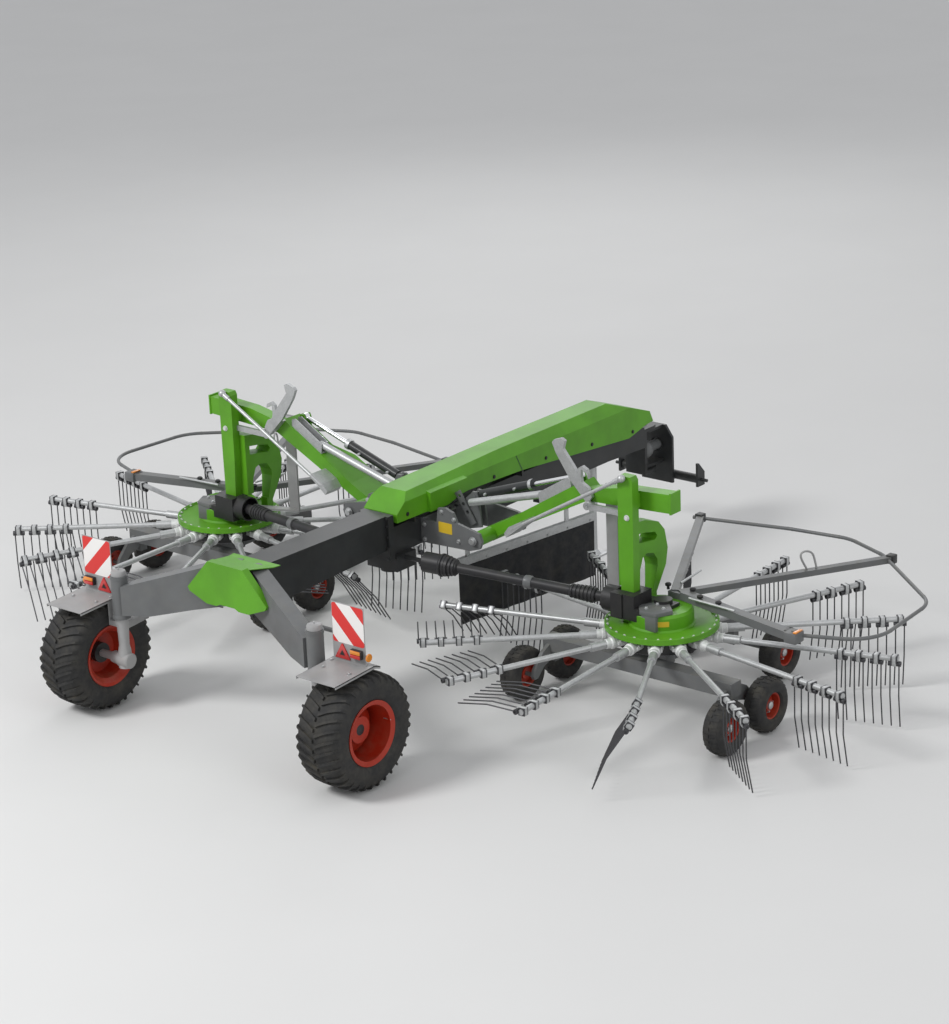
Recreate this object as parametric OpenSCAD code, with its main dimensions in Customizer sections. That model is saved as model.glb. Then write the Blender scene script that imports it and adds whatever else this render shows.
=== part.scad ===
// Twin rotor hay rake, drawn in millimetres at full size.
// +X points to the hitch, +Y to the left, Z = 0 is the ground.
// Parts that come in pairs are drawn on the left and mirrored for the right.

/* [Layout] */
// Place of the transport axle along X
axle_x = -2528; // [-2560:1:-2500]
// Distance from the transport axle forward to the rotor centres
rotor_ahead = 2368; // [2340:1:2420]
// Distance of each rotor centre from the middle of the machine
rotor_y = 2176; // [2170:1:2260]
// Height of the boom pivots
pivot_z = 1020; // [1010:1:1030]
// Distance of the boom pivots from the middle
pivot_y = 620; // [610:1:630]

/* [Transport wheels] */
// Distance between the middles of the two transport tyres
track = 2560; // [2540:10:2700]
// Outer diameter of the transport tyre
tyre_d = 850; // [820:2:870]
// Width of the transport tyre
tyre_w = 380; // [340:5:390]
// Diameter of the rim flange
rim_d = 470; // [440:5:500]
// Distance of the kingpins inward of the tyres' middle
kingpin_in = 316; // [300:1:330]
// Diameter of the kingpin
kingpin_d = 52; // [45:1:60]

/* [Rotors] */
// Number of tine arms on each rotor
arm_count = 14; // [12:1:14]
// Radius of the circle that the arm ends run on
arm_reach = 1764; // [1740:1:1770]
// Height of the tine arms
arm_z = 563; // [555:1:570]
// Outer diameter of a tine arm
arm_d = 42; // [38:1:46]
// Number of double tines on each arm
tine_count = 4; // [3:1:4]
// Distance between the double tines along the arm
tine_pitch = 130; // [120:1:132]
// Thickness of the tine wire
tine_wire = 10; // [8:0.5:12]
// Height of the tine tips above the ground
tine_ground = 30; // [15:1:60]
// Diameter of the rotor housing
housing_d = 830; // [780:5:860]

/* [Rotor wheels] */
// Outer diameter of the small rotor wheels
small_d = 410; // [390:2:430]
// Width of the small rotor wheels
small_w = 160; // [140:2:170]

/* [Frame] */
// Width of the main beam behind the booms
beam_w = 240; // [200:5:250]
// Width of the beam under the hood
front_beam_w = 200; // [180:5:220]
// Width of the hood
hood_w = 330; // [310:5:350]
// Sheet thickness of hood and covers
sheet = 5; // [3:0.5:8]
// Width of the boom's box section
boom_w = 190; // [190:1:205]

/* [Clearances] */
// Radial clearance of a pin in its bore
pin_gap = 0.3; // [0.1:0.05:0.5]
// Gap between two pieces that are bolted together
seat_gap = 0.3; // [0.2:0.05:0.5]
// Gap between faces that turn past each other
turn_gap = 6; // [5:0.5:8]

/* [Hidden] */
$fn = 48;

wheel_numbers = [1, 2, 3, 4];

leaf_green = [0.20, 0.50, 0.08];
dark_frame = [0.10, 0.10, 0.11];
mid_grey = [0.33, 0.33, 0.34];
galvanised = [0.66, 0.67, 0.68];
cast_white = [0.80, 0.80, 0.79];
tyre_black = [0.04, 0.04, 0.04];
rim_red = [0.72, 0.11, 0.04];
soft_black = [0.03, 0.03, 0.03];

// Places along X, measured forward of the transport axle
function fwd(x) = axle_x + x;
rotor_x = fwd(rotor_ahead);
hub_z = tyre_d / 2;
kingpin_y = track / 2 - kingpin_in;

// Draws its children on the left (side 1) or mirrored on the right (side -1)
module on_side(side) {
    if (side > 0) children();
    else mirror([0, 1, 0]) children();
}

// A plate whose outline lies in X and Z, centred on y
module plate_xz(points, y, thick) {
    translate([0, y + thick / 2, 0]) rotate([90, 0, 0]) linear_extrude(thick) polygon(points);
}

// A plate whose outline lies in Y and Z, from x forward
module plate_yz(points, x, thick) {
    translate([x, 0, 0]) rotate([90, 0, 90]) linear_extrude(thick) polygon(points);
}

// A round bar from one point to another
module bar(from, to, r) {
    run = to - from;
    flat = norm([run.x, run.y]);
    translate(from) rotate([0, atan2(flat, run.z), atan2(run.y, run.x)]) cylinder(r = r, h = norm(run));
}

// A square tube from one point to another, its height upright
module square_bar(from, to, wide, high) {
    run = to - from;
    flat = norm([run.x, run.y]);
    translate(from) rotate([0, -atan2(run.z, flat), atan2(run.y, run.x)])
        translate([0, -wide / 2, -high / 2]) cube([norm(run), wide, high]);
}

// A cylinder that lies along X or Y
module along_x(from, y, z, r, length) {
    translate([from, y, z]) rotate([0, 90, 0]) cylinder(r = r, h = length);
}
module along_y(x, from, z, r, length) {
    translate([x, from, z]) rotate([-90, 0, 0]) cylinder(r = r, h = length);
}

// Height of a straight edge through two points, at y
function edge_z(edge, y) = edge[0].y + (y - edge[0].x) * (edge[1].y - edge[0].y) / (edge[1].x - edge[0].x);

// A round tube through points of equal height, with rounded corners
function unit(v) = v / norm(v);
function heading(p, i) = unit(p[i + 1] - p[i]);
function turn_at(p, i) = let (a = heading(p, i - 1), b = heading(p, i)) atan2(a.x * b.y - a.y * b.x, a * b);
function cut_at(p, i, bend) = i == 0 || i == len(p) - 1 ? 0 : bend * tan(abs(turn_at(p, i)) / 2);
module bent_tube(p, z, bend, r) {
    for (i = [0:len(p) - 2]) {
        along = heading(p, i);
        start = p[i] + along * cut_at(p, i, bend);
        end = p[i + 1] - along * cut_at(p, i + 1, bend);
        bar([start.x + along.x, start.y + along.y, z], [end.x - along.x, end.y - along.y, z], r);
        for (joint = [start, end]) bar([joint.x - 7 * along.x, joint.y - 7 * along.y, z],
            [joint.x + 7 * along.x, joint.y + 7 * along.y, z], r + 0.8);
    }
    for (i = [1:len(p) - 2]) {
        a = heading(p, i - 1);
        b = heading(p, i);
        inward = sign(turn_at(p, i)) * bend;
        middle = p[i] - a * cut_at(p, i, bend) + inward * [-a.y, a.x];
        intersection() {
            translate([middle.x, middle.y, z]) rotate_extrude() translate([bend, 0]) circle(r = r);
            translate([0, 0, z - 2 * r]) linear_extrude(4 * r)
                polygon([middle, middle - 2 * inward * [-a.y, a.x], 2 * p[i] - middle, middle - 2 * inward * [-b.y, b.x]]);
        }
    }
}

// Main frame
beam_back = fwd(400);
beam_joint = fwd(1720);
beam_bottom_back = 930;
beam_bottom_joint = 970;
beam_top_back = 1258;
beam_top_joint = 1238;
flange_t = 30;
front_top = 1120;
front_bottom = 900;
beam_front = fwd(5000);
end_plate_t = 30;
swivel_x = fwd(5120);
fork_t = 30;
fork_top = 1040;
fork_low = 640;
swivel_r = 25;

module main_beam() color(dark_frame) {
    joint_end = beam_joint + 2 * flange_t;
    plate_xz([[beam_back, beam_bottom_back], [beam_joint, beam_bottom_joint],
        [beam_joint, beam_top_joint], [beam_back, beam_top_back]], 0, beam_w);
    translate([beam_joint, -beam_w / 2 - 25, beam_bottom_joint - 90])
        cube([2 * flange_t, beam_w + 50, beam_top_joint - beam_bottom_joint + 90]);
    plate_xz([[joint_end, front_bottom], [fwd(4500), front_bottom], [beam_front, 880],
        [beam_front, front_top - 60], [fwd(4700), front_top], [joint_end, front_top]], 0, front_beam_w);
    for (x = hood_ribs) intersection() {
        translate([x, -hood_w / 2, front_top]) cube([20, hood_w, 400]);
        hood_solid(sheet + seat_gap);
    }
    for (x = bar_hangers) translate([x, curtain_y(x) - 20, front_bottom - 60]) cube([40, -80 - curtain_y(x), 70]);
}

// Fork bolted to the beam's front end, in which the headstock turns
module hitch_fork() color(dark_frame) difference() {
    union() {
        translate([beam_front + seat_gap, -front_beam_w / 2, fork_low])
            cube([end_plate_t, front_beam_w, fork_top - fork_low]);
        for (low = [fork_low, fork_top - fork_t]) {
            translate([beam_front + seat_gap, -front_beam_w / 2, low])
                cube([swivel_x - beam_front - seat_gap, front_beam_w, fork_t]);
            translate([swivel_x, 0, low]) cylinder(r = front_beam_w / 2, h = fork_t);
        }
    }
    for (low = [fork_low, fork_top - fork_t])
        translate([swivel_x, 0, low - 1]) cylinder(r = swivel_r + pin_gap, h = fork_t + 2);
}

// Transport axle, a bent arm to each kingpin
arm_root_x = fwd(330);
arm_root_y = 110;
arm_t = 120;
barrel_r = 62;
barrel_low = 760;
barrel_high = 1085;

module axle_arm(room = 0) {
    run = [fwd(0) - arm_root_x, kingpin_y - barrel_r + 20 - arm_root_y];
    length = norm(run);
    translate([arm_root_x, arm_root_y, 0]) rotate([0, 0, atan2(run.y, run.x)])
        plate_xz([[-60, 960 - room], [-60, 1268 + room], [80, 1262 + room], [length, 1020 + room],
            [length, 800 - room], [length * 0.75, 810 - room], [length * 0.35, 890 - room]], 0, arm_t + 2 * room);
}

module axle_beam() color(mid_grey) difference() {
    union() {
        for (side = [1, -1]) on_side(side) {
            difference() {
                axle_arm();
                translate([fwd(0) - 500, kingpin_y, 0]) cube([1000, 500, 1500]);
            }
            translate([fwd(0), kingpin_y, barrel_low]) cylinder(r = barrel_r, h = barrel_high - barrel_low);
        }
        translate([fwd(130) + sheet + seat_gap, -140, beam_bottom_back + 70]) cube([250, 280, 250]);
    }
    for (side = [1, -1]) on_side(side)
        translate([fwd(0), kingpin_y, barrel_low - 1])
            cylinder(r = kingpin_d / 2 + pin_gap, h = barrel_high - barrel_low + 2);
    translate([beam_back - seat_gap, -500, 500]) cube([400, 1000, 1000]);
}

// Folded cap over the middle of the axle, its top plate rising from the beam
cover_x = fwd(130);
cover_depth = 58;
cover_top = 1312;
cover_half = [[172, cover_top], [388, 1078], [372, 1050], [205, 985], [110, 985], [70, 1003]];
cover_hollow = [[166, cover_top - sheet], [381, 1076], [366, 1053], [230, 1000], [230, 900]];
function both_sides(half) = concat(half, [for (i = [len(half) - 1:-1:0]) [-half[i].x, half[i].y]]);

module rear_cover() color(leaf_green) difference() {
    seat = beam_top_back + seat_gap;
    union() {
        difference() {
            plate_yz(both_sides(cover_half), cover_x, cover_depth);
            plate_yz(both_sides(cover_hollow), cover_x + sheet, cover_depth);
        }
        intersection() {
            plate_xz([[cover_x, cover_top - sheet], [cover_x, cover_top], [beam_back, seat + sheet],
                [beam_back + 60, seat + sheet], [beam_back + 60, seat], [beam_back, seat]], 0, 600);
            linear_extrude(2000) polygon([[cover_x, -172], [beam_back + 60, -230], [beam_back + 60, 230], [cover_x, 172]]);
        }
    }
    for (side = [1, -1]) on_side(side) axle_arm(seat_gap);
}

// Hood over the front beam: side outline with the direction in which each corner moves for the inside
// columns: x ahead of the axle, z, inward step along x, inward step along z
hood_outline = [[1800, 1170, 1, -30], [1800, 1235, 1, -0.6], [1960, 1370, 0.5, -1], [3100, 1395, 0, -1],
    [4480, 1400, -0.4, -1], [4990, 1215, -1, -0.8], [5035, 1120, -1, 0], [4930, 1110, -1, -30],
    [4700, 1056, 0, -30], [3290, 1173, 0, -30], [2640, 1195, 0, -30], [2200, 1163, 0, -30]];
hood_ribs = [fwd(2000), fwd(3300), fwd(4650)];

module hood_solid(t) intersection() {
    plate_xz([for (p = hood_outline) [fwd(p[0]) + p[2] * t, p[1] + p[3] * t]], 0, hood_w);
    plate_yz([[-hood_w / 2 + t, 700], [-hood_w / 2 + t, 1312 - t / 2], [-95 + t / 2, 1405 - t], [95 - t / 2, 1405 - t],
        [hood_w / 2 - t, 1312 - t / 2], [hood_w / 2 - t, 700]], fwd(1700), 3500);
}

// Covers on the hood's flanks, above the feet of the lift cylinders
flank_from = 2150;
flank_to = 2600;
flank_out = hood_w / 2 + 33;

module flank_cover() difference() {
    intersection() {
        plate_xz([[fwd(flank_from), 1165], [fwd(flank_from), 1400], [fwd(flank_to - 15), 1400], [fwd(flank_to), 1225],
            [fwd(flank_from + 200), 1165]], 0, hood_w + 200);
        plate_yz([[hood_w / 2 - 1, 1100], [flank_out, 1100], [flank_out, 1316], [hood_w / 2 - 12, 1326],
            [hood_w / 2 - 2, 1311]], fwd(flank_from) - 1, flank_to - flank_from + 2);
    }
    plate_yz([[hood_w / 2 - 15, 1000], [flank_out - sheet, 1000], [flank_out - sheet, 1311], [hood_w / 2 - 15, 1321]],
        fwd(flank_from) + sheet, flank_to - flank_from - 2 * sheet - 12);
}

module hood() color(leaf_green) {
    difference() {
        hood_solid(0);
        hood_solid(sheet);
    }
    for (side = [1, -1]) on_side(side) flank_cover();
}

// Central gearbox under the beam, with a cross pin for each side shaft
gearbox_x = fwd(1890);
shaft_in = [gearbox_x, 330, 875];
shaft_out = [fwd(2230), 1880, 790];
cross_r = 14;

module central_gearbox() color(dark_frame) {
    translate([gearbox_x - 100, -150, 780]) cube([220, 300, front_bottom - seat_gap - 780]);
    translate([gearbox_x, 0, 750]) cylinder(r = 80, h = 30);
    for (side = [1, -1]) on_side(side) {
        along_y(shaft_in.x, 149, shaft_in.z, 18, shaft_in.y - 149 + 18);
        along_x(shaft_in.x - 48, shaft_in.y, shaft_in.z, cross_r, 96);
    }
}

// Headstock with the lower link pins
head_x = fwd(5300);
lower_link_z = 560;
link_span = 825;
link_pin_r = 14;
link_pin_l = 60;
plate_t = 25;

module headstock() color(dark_frame) difference() {
    union() {
        for (low = [fork_low + fork_t + turn_gap, fork_top - fork_t - turn_gap - plate_t]) {
            translate([swivel_x, 0, low]) cylinder(r = 70, h = plate_t);
            translate([swivel_x, -70, low]) cube([head_x - swivel_x, 140, plate_t]);
        }
        translate([swivel_x, 0, fork_low - 15]) cylinder(r = swivel_r, h = fork_t + turn_gap + 20);
        translate([swivel_x, 0, fork_low + fork_t + seat_gap]) cylinder(r = 45, h = turn_gap);
        translate([swivel_x, 0, fork_top - fork_t - turn_gap - 5]) cylinder(r = swivel_r, h = fork_t + turn_gap + 20);
        translate([swivel_x, 0, fork_top - fork_t - turn_gap - 5]) cylinder(r = 45, h = turn_gap + 5 - seat_gap);
        plate_yz([[-160, 500], [160, 500], [160, 900], [90, 1000], [-90, 1000], [-160, 900]], head_x, plate_t);
        along_y(head_x + 60, -link_span / 2 + 10, lower_link_z, 38, link_span - 20);
        translate([head_x, -160, lower_link_z - 30]) cube([60, 320, 60]);
        for (side = [1, -1]) on_side(side) {
            plate_xz([[head_x + 10, lower_link_z - 55], [head_x + 110, lower_link_z - 55],
                [head_x + 110, lower_link_z + 60], [head_x + 30, lower_link_z + 150], [head_x + 10, lower_link_z + 150]],
                link_span / 2 - 10, 20);
            along_y(head_x + 60, link_span / 2 - 1, lower_link_z, link_pin_r, link_pin_l + 1);
        }
    }
    along_x(head_x - 1, 0, 820, 60, plate_t + 2);
}

stub_r = 17.5;
stub_tip = fwd(5480);

module drive_stub() color(mid_grey) {
    translate([swivel_x, 0, 820]) sphere(r = 80);
    along_x(swivel_x, 0, 820, 45, head_x - swivel_x + 60);
    along_x(head_x + plate_t + seat_gap, 0, 820, 85, 20);
    along_x(head_x, 0, 820, stub_r, stub_tip - head_x);
}

// Parking jack at the left side of the front beam
jack_x = fwd(4620);
jack_y = 170;
jack_tube_r = 40;
jack_leg_r = 32;
jack_tube_low = 420;
jack_tube_high = 985;
jack_travel = 350;

module jack_tube() color(galvanised) difference() {
    union() {
        translate([jack_x, jack_y, jack_tube_low]) cylinder(r = jack_tube_r, h = jack_tube_high - jack_tube_low);
        translate([jack_x - 50, front_beam_w / 2 + seat_gap, 920]) cube([100, 60, 70]);
        along_y(jack_x, jack_y, jack_tube_high - 90, 9, 110);
        along_x(jack_x - 60, jack_y + 105, jack_tube_high - 90, 9, 120);
    }
    translate([jack_x, jack_y, jack_tube_low - 1]) cylinder(r = jack_leg_r + pin_gap, h = 560);
}

module jack_leg() color(galvanised) {
    translate([jack_x, jack_y, 0]) cylinder(r = jack_leg_r, h = 600);
    translate([jack_x - 100, jack_y - 80, 0]) cube([200, 160, 12]);
    translate([jack_x, jack_y, 12]) cylinder(r1 = 60, r2 = jack_leg_r, h = 40);
}

// Swath curtain between the rotors, hung from a bar on the front beam
curtain_from = [fwd(2368), -259];
curtain_to = [fwd(3818), -459];
curtain_top = 693;
curtain_drop = 500;
curtain_t = 12;
bar_hangers = [fwd(2450), fwd(3500)];
function curtain_y(x) = curtain_from.y + (x - curtain_from.x) * (curtain_to.y - curtain_from.y) / (curtain_to.x - curtain_from.x);

module curtain_bar() color(galvanised) {
    square_bar([curtain_from.x, curtain_from.y, curtain_top + 20], [curtain_to.x, curtain_to.y, curtain_top + 20], 40, 40);
    for (x = bar_hangers)
        translate([x, curtain_y(x) - 8, curtain_top + 38]) cube([40, 16, front_bottom - 60 - seat_gap - curtain_top - 38]);
}

module curtain() color(soft_black)
    square_bar([curtain_from.x, curtain_from.y, curtain_top - seat_gap - curtain_drop / 2],
        [curtain_to.x, curtain_to.y, curtain_top - seat_gap - curtain_drop / 2], curtain_t, curtain_drop);

// Steered knuckle with its stub axle
sign_y = track / 2 - 40;
function mudguard_low(x) = tyre_d + 9 + (x + 310) * 20 / 400 - seat_gap;
leg_r = 36;
stub_axle_r = 30;

module knuckle() color(mid_grey) {
    translate([fwd(0), kingpin_y, barrel_low - turn_gap - 5]) cylinder(r = kingpin_d / 2, h = barrel_high - barrel_low + turn_gap + 5 + 30);
    translate([fwd(0), kingpin_y, barrel_high + seat_gap]) cylinder(r = 44, h = 20);
    translate([fwd(0), kingpin_y, hub_z - 60]) cylinder(r = leg_r, h = barrel_low - turn_gap - hub_z + 60);
    translate([fwd(0), kingpin_y, barrel_low - turn_gap - 5]) cylinder(r = 44, h = turn_gap + 5 - seat_gap);
    along_y(fwd(0), kingpin_y, hub_z, stub_axle_r, track / 2 - kingpin_y + 60);
    square_bar([fwd(0), kingpin_y, 705], [fwd(0), sign_y - 165, 705], 60, 40);
    plate_xz([[fwd(-30), 690], [fwd(30), 690], [fwd(30), mudguard_low(30)], [fwd(-30), mudguard_low(-30)]],
        sign_y - 172, 12);
    square_bar([fwd(20), kingpin_y, 690], [fwd(250), kingpin_y + 10, 700], 50, 50);
    square_bar([fwd(230), kingpin_y, 700], [fwd(rod_ahead), kingpin_y, rod_z - 22 - turn_gap - 15], 50, 30);
    translate([fwd(rod_ahead), kingpin_y, rod_z - 22 - turn_gap - 30]) cylinder(r = 30, h = 30);
    translate([fwd(rod_ahead), kingpin_y, rod_z - 60]) cylinder(r = 12, h = 92);
}

// Track rod between the knuckle arms, ahead of the axle arms
rod_ahead = 400;
rod_z = 900;
rod_r = 17;

module track_rod() color(mid_grey) difference() {
    union() {
        along_y(fwd(rod_ahead), -kingpin_y, rod_z, rod_r, 2 * kingpin_y);
        for (side = [1, -1]) translate([fwd(rod_ahead), side * kingpin_y, rod_z - 22]) cylinder(r = 32, h = 44);
    }
    for (side = [1, -1]) translate([fwd(rod_ahead), side * kingpin_y, rod_z - 50]) cylinder(r = 12 + pin_gap, h = 100);
}

// Mudguard plate with its sign panel
module mudguard() color(mid_grey) {
    low = tyre_d + 25;
    plate_xz([[fwd(-310), low - 10], [fwd(90), low + 10], [fwd(150), low - 10], [fwd(150), low - 16],
        [fwd(90), low + 4], [fwd(-310), low - 16]], sign_y, 360);
    plate_yz([[sign_y - 155, low + 8], [sign_y - 155, low + 430], [sign_y + 140, low + 430], [sign_y + 140, low + 8]],
        fwd(50), 4);
    plate_yz([[sign_y - 130, low + 32], [sign_y - 65, low + 135], [sign_y, low + 32]], fwd(42), 9);
    translate([fwd(20), sign_y + 25, low + 60]) cube([31, 95, 60]);
}

module rim() color(rim_red) {
    translate([fwd(0), track / 2, hub_z]) rotate([90, 0, 0]) rotate_extrude() {
        polygon([[stub_axle_r + pin_gap, -60], [95, -60], [95, -20], [175, 10], [195, 120], [rim_d / 2 - 12, 150],
            [rim_d / 2, 165], [rim_d / 2, 172], [rim_d / 2 - 22, 165], [180, 135], [160, 22], [stub_axle_r + pin_gap, 0]]);
        polygon([[195, 118], [rim_d / 2 - 25, 118], [rim_d / 2 - 25, -150], [rim_d / 2, -165], [rim_d / 2, -172],
            [rim_d / 2 - 35, -160], [rim_d / 2 - 35, 105], [195, 105]]);
    }
}

// Section of the tyre's flank: share of the way from the rim's edge to the tread, step in from the side
tyre_flank = [[0.32, 0], [0.53, 0], [0.87, 22], [0.97, 70]];
function tyre_r(share) = (rim_d + share * (tyre_d - rim_d)) / 2;

module tyre() color(tyre_black) {
    inner = rim_d / 2 - 24.7;
    half = tyre_w / 2;
    translate([fwd(0), track / 2, hub_z]) rotate([90, 0, 0]) rotate_extrude()
        polygon(concat([[inner, -149.6], [rim_d / 2 + 1, -165]],
            [for (p = tyre_flank) [tyre_r(p[0]), -half + p[1]]], [[tyre_d / 2, 0]],
            [for (i = [len(tyre_flank) - 1:-1:0]) [tyre_r(tyre_flank[i][0]), half - tyre_flank[i][1]]],
            [[rim_d / 2 + 1, 164.5], [rim_d / 2 - 11.4, 149.5], [inner, 135.5]]));
}

// Brackets that carry the boom and the lift cylinder
pivot_r = 30;
bracket_t = 25;
bracket_back = fwd(2140);
bracket_front = fwd(2670);
lift_x = fwd(2490);
lift_base = [380, 1238];
lift_eye = [1370, 1572];
lift_pin_r = 16;
eye_w = 44;
eye_r = 30;

// Perforated lever of the width strut, on a boss of the lift cylinder's clevis
lever_x = fwd(2427);
lever_t = 10;
lever_top = [235, 1245];
lever_low = [372, 1030];
function lever_at(share, side) = let (run = lever_low - lever_top)
    lever_top + run * share + side * unit([-run.y, run.x]);
clevis_gap = 2;
clevis_t = 16;

module boom_bracket() color(mid_grey) {
    side_y = front_beam_w / 2 + seat_gap;
    round_end = [[pivot_y - 20, pivot_z + 75], [pivot_y + 50, pivot_z + 60], [pivot_y + 75, pivot_z],
        [pivot_y + 50, pivot_z - 60], [pivot_y - 40, pivot_z - 90]];
    plate_yz(concat([[side_y, 912], [side_y, 1095], [255, 1095], [275, 1215], [345, 1225], [420, 1200], [455, 1125]],
        round_end), bracket_back, bracket_t);
    plate_yz(concat([[side_y, 912], [side_y, 1115], [400, 1115]], round_end), bracket_front, bracket_t);
    difference() {
        plate_yz([lever_at(-0.05, -30), lever_at(-0.05, 30), lever_at(1.05, 30), lever_at(1.05, -30)], lever_x, lever_t);
        for (share = [0.1, 0.37, 0.64]) along_x(lever_x - 1, lever_at(share, 0).x, lever_at(share, 0).y, 15, lever_t + 2);
    }
    along_x(lever_x + lever_t - 1, lever_at(0.9, 0).x, lever_at(0.9, 0).y, 20,
        lift_x - eye_w / 2 - clevis_gap - clevis_t - lever_x - lever_t + 2);
    along_x(bracket_back - 15, pivot_y, pivot_z, pivot_r, bracket_front - bracket_back + bracket_t + 30);
    translate([bracket_back, side_y, 912]) cube([bracket_front - bracket_back + bracket_t, 25, 198]);
    for (x = [lift_x - eye_w / 2 - clevis_gap - clevis_t, lift_x + eye_w / 2 + clevis_gap])
        plate_yz([[side_y, 960], [side_y, 1112], [190, 1112], [lift_base.x - 38, lift_base.y + 15],
            [lift_base.x - 18, lift_base.y + 36], [lift_base.x + 18, lift_base.y + 36], [lift_base.x + 38, lift_base.y],
            [lift_base.x + 60, 1000], [210, 940]], x, clevis_t);
    along_x(lift_x - eye_w / 2 - 25, lift_base.x, lift_base.y, lift_pin_r, eye_w + 50);
}

// Boom: a box section with a wide web at the pivot, and the telescoping arm in its end
boom_back = fwd(2340);
boom_tube_r = 56;
boom_upper = [[786, 1162], [1467, 1570]];
boom_lower = [[700, 1020], [1571, 1464]];
boom_side = concat([[575, 985], [640, 965]], boom_lower, [boom_upper[1], boom_upper[0]], [[640, 1090], [575, 1060]]);
web_t = 30;
web_out = 1130;
web_front = fwd(2655);
arm_inset = 8;
inner_arm_back = boom_back + arm_inset;
inner_arm_w = 110;
inner_arm_side = [[1480, 1440], [1640, 1452], [2290, 1486], [2290, 1628], [1840, 1600], [1640, 1560], [1500, 1530]];

// Heights at which fittings are seated on the boom's upper and lower faces
function boom_top(y) = edge_z(boom_upper, y) + seat_gap * 1.2;

module boom() color(leaf_green) difference() {
    clevis_back = lift_x - eye_w / 2 - clevis_gap - clevis_t;
    clevis_front = lift_x + eye_w / 2 + clevis_gap;
    union() {
        plate_yz(boom_side, boom_back, boom_w);
        intersection() {
            plate_yz([[560, 1000], boom_upper[0] - [0, web_t], [1200, edge_z(boom_upper, 1200) - web_t],
                [1200, edge_z(boom_upper, 1200)], boom_upper[0], [640, 1090], [560, 1030]], boom_back, 480);
            linear_extrude(2000) polygon([[boom_back, web_out], [boom_back + boom_w, web_out],
                [fwd(2630), 985], [web_front, 560], [boom_back, 560]]);
        }
        plate_yz(inner_arm_side, inner_arm_back, inner_arm_w);
        plate_yz([[2278, 1478], [2292, 1478], [2292, 1638], [2278, 1638]], inner_arm_back - 6, inner_arm_w + 12);
        along_x(bracket_back + bracket_t + turn_gap, pivot_y, pivot_z, boom_tube_r,
            bracket_front - bracket_back - bracket_t - 2 * turn_gap);
        for (x = [clevis_back, clevis_front])
            plate_yz([[lift_eye.x - 28, 1430], [lift_eye.x - 28, lift_eye.y], [lift_eye.x - 16, lift_eye.y + 26],
                [lift_eye.x + 16, lift_eye.y + 26], [lift_eye.x + 28, lift_eye.y], [lift_eye.x + 55, 1490],
                [lift_eye.x + 30, 1430]], x, clevis_t);
        for (x = [clevis_back - 10, clevis_front + clevis_t]) along_x(x, lift_eye.x, lift_eye.y, lift_pin_r, 10);
    }
    along_x(bracket_back, pivot_y, pivot_z, pivot_r + pin_gap, 1000);
}

// Flat post on the rotor and its edge toward the boom
post_back = fwd(2215);
post_t = 75;
post_edge = [[1200, 1918], [1720, 1915]];
function post_in(z) = edge_z(post_edge, z);

// Galvanised links on the boom: lock hook, tie rod, link bar and the width strut
hook_t = 30;
// The left hook stands this far behind the right one, so that they pass each other over the hood
hook_step = 42;
hook_foot = [[1440, 1569], [1550, 1457], [1590, 1500], [1565, 1560], [1510, 1590]];
hook_side = [[1567, 1440], [1611, 1499], [1576, 1564], [1520, 1594], [1513, 1633], [1517, 1698], [1577, 1666], [1570, 1700],
    [1525, 1722], [1492, 1700], [1480, 1662], [1354, 1820], [1372, 1885], [1340, 1902], [1275, 1880], [1256, 1857],
    [1291, 1779], [1420, 1590]];
strut_x = fwd(2390);
ball_r = 30;
tie_x = post_back - seat_gap - ball_r;
tie_low = [950, 1160];
tie_high = [1975, 1742];
link_z = 1440;
link_in = 1596;
link_t = 26;

module boom_links(side) color(galvanised) {
    run = unit(tie_high - tie_low);
    hook_front = boom_back - seat_gap - (side > 0 ? hook_step : 0);
    plate_yz(hook_side, hook_front - hook_t, hook_t);
    plate_yz(hook_foot, hook_front - 1, boom_back - seat_gap - hook_front + 1);
    bar([tie_x, tie_low.x, tie_low.y], [tie_x, tie_high.x, tie_high.y], 14);
    translate([tie_x, tie_high.x, tie_high.y]) sphere(r = ball_r);
    bar([tie_x, tie_high.x - 75 * run.x, tie_high.y - 75 * run.y], [tie_x, tie_high.x, tie_high.y], 20);
    plate_yz([[905, 1090], [885, 1120], [930, 1178], [1045, 1240], [1065, 1215], [985, 1155]], tie_x - 12,
        boom_back - seat_gap - tie_x + 12);
    plate_yz([[link_in, link_z - 22], [link_in, link_z + 22], [post_in(link_z) - seat_gap, link_z + 26],
        [post_in(link_z) - seat_gap, link_z - 18]], post_back + post_t - link_t - 2, link_t);
    along_x(post_back + post_t - link_t - 4, link_in, link_z, 30, link_t + 4);
    along_x(post_back + post_t - link_t - 14, link_in, link_z, 14, inner_arm_back - seat_gap - post_back - post_t + link_t + 14);
    bar([strut_x, 390, 1207], [strut_x, 1125, 1412], 30);
    for (x = [strut_x - 40, strut_x + 30])
        plate_yz([[1090, boom_top(1090)], [1080, 1425], [1120, 1450], [1350, 1590], [1385, 1580],
            [1390, boom_top(1390)]], x, 10);
    plate_yz([[1090, boom_top(1090)], [1090, boom_top(1090) + 12], [1390, boom_top(1390) + 12],
        [1390, boom_top(1390)]], strut_x - 40, 80);
}

// Upright frame on the rotor: flat post, portal ahead of it
housing_top = 640;
gearbox_top = 880;
portal_y = 1930;
portal_w = 140;
// Side view of the portal: its rear leg stands on the gearbox, its front leg on the housing
portal_side = [[2285, gearbox_top + seat_gap], [2285, 1382], [2432, 1362], [2590, 1305], [2662, 1225], [2697, 1080],
    [2692, 944], [2600, 750], [2545, 750], [2568, 864], [2585, 960], [2575, 1020], [2520, 1085], [2440, 1105], [2390, 1085],
    [2355, 1000], [2350, gearbox_top + seat_gap]];
portal_window = [[2335, 1210], [2335, 1280], [2425, 1268], [2545, 1240], [2570, 1205], [2545, 1180]];

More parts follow.
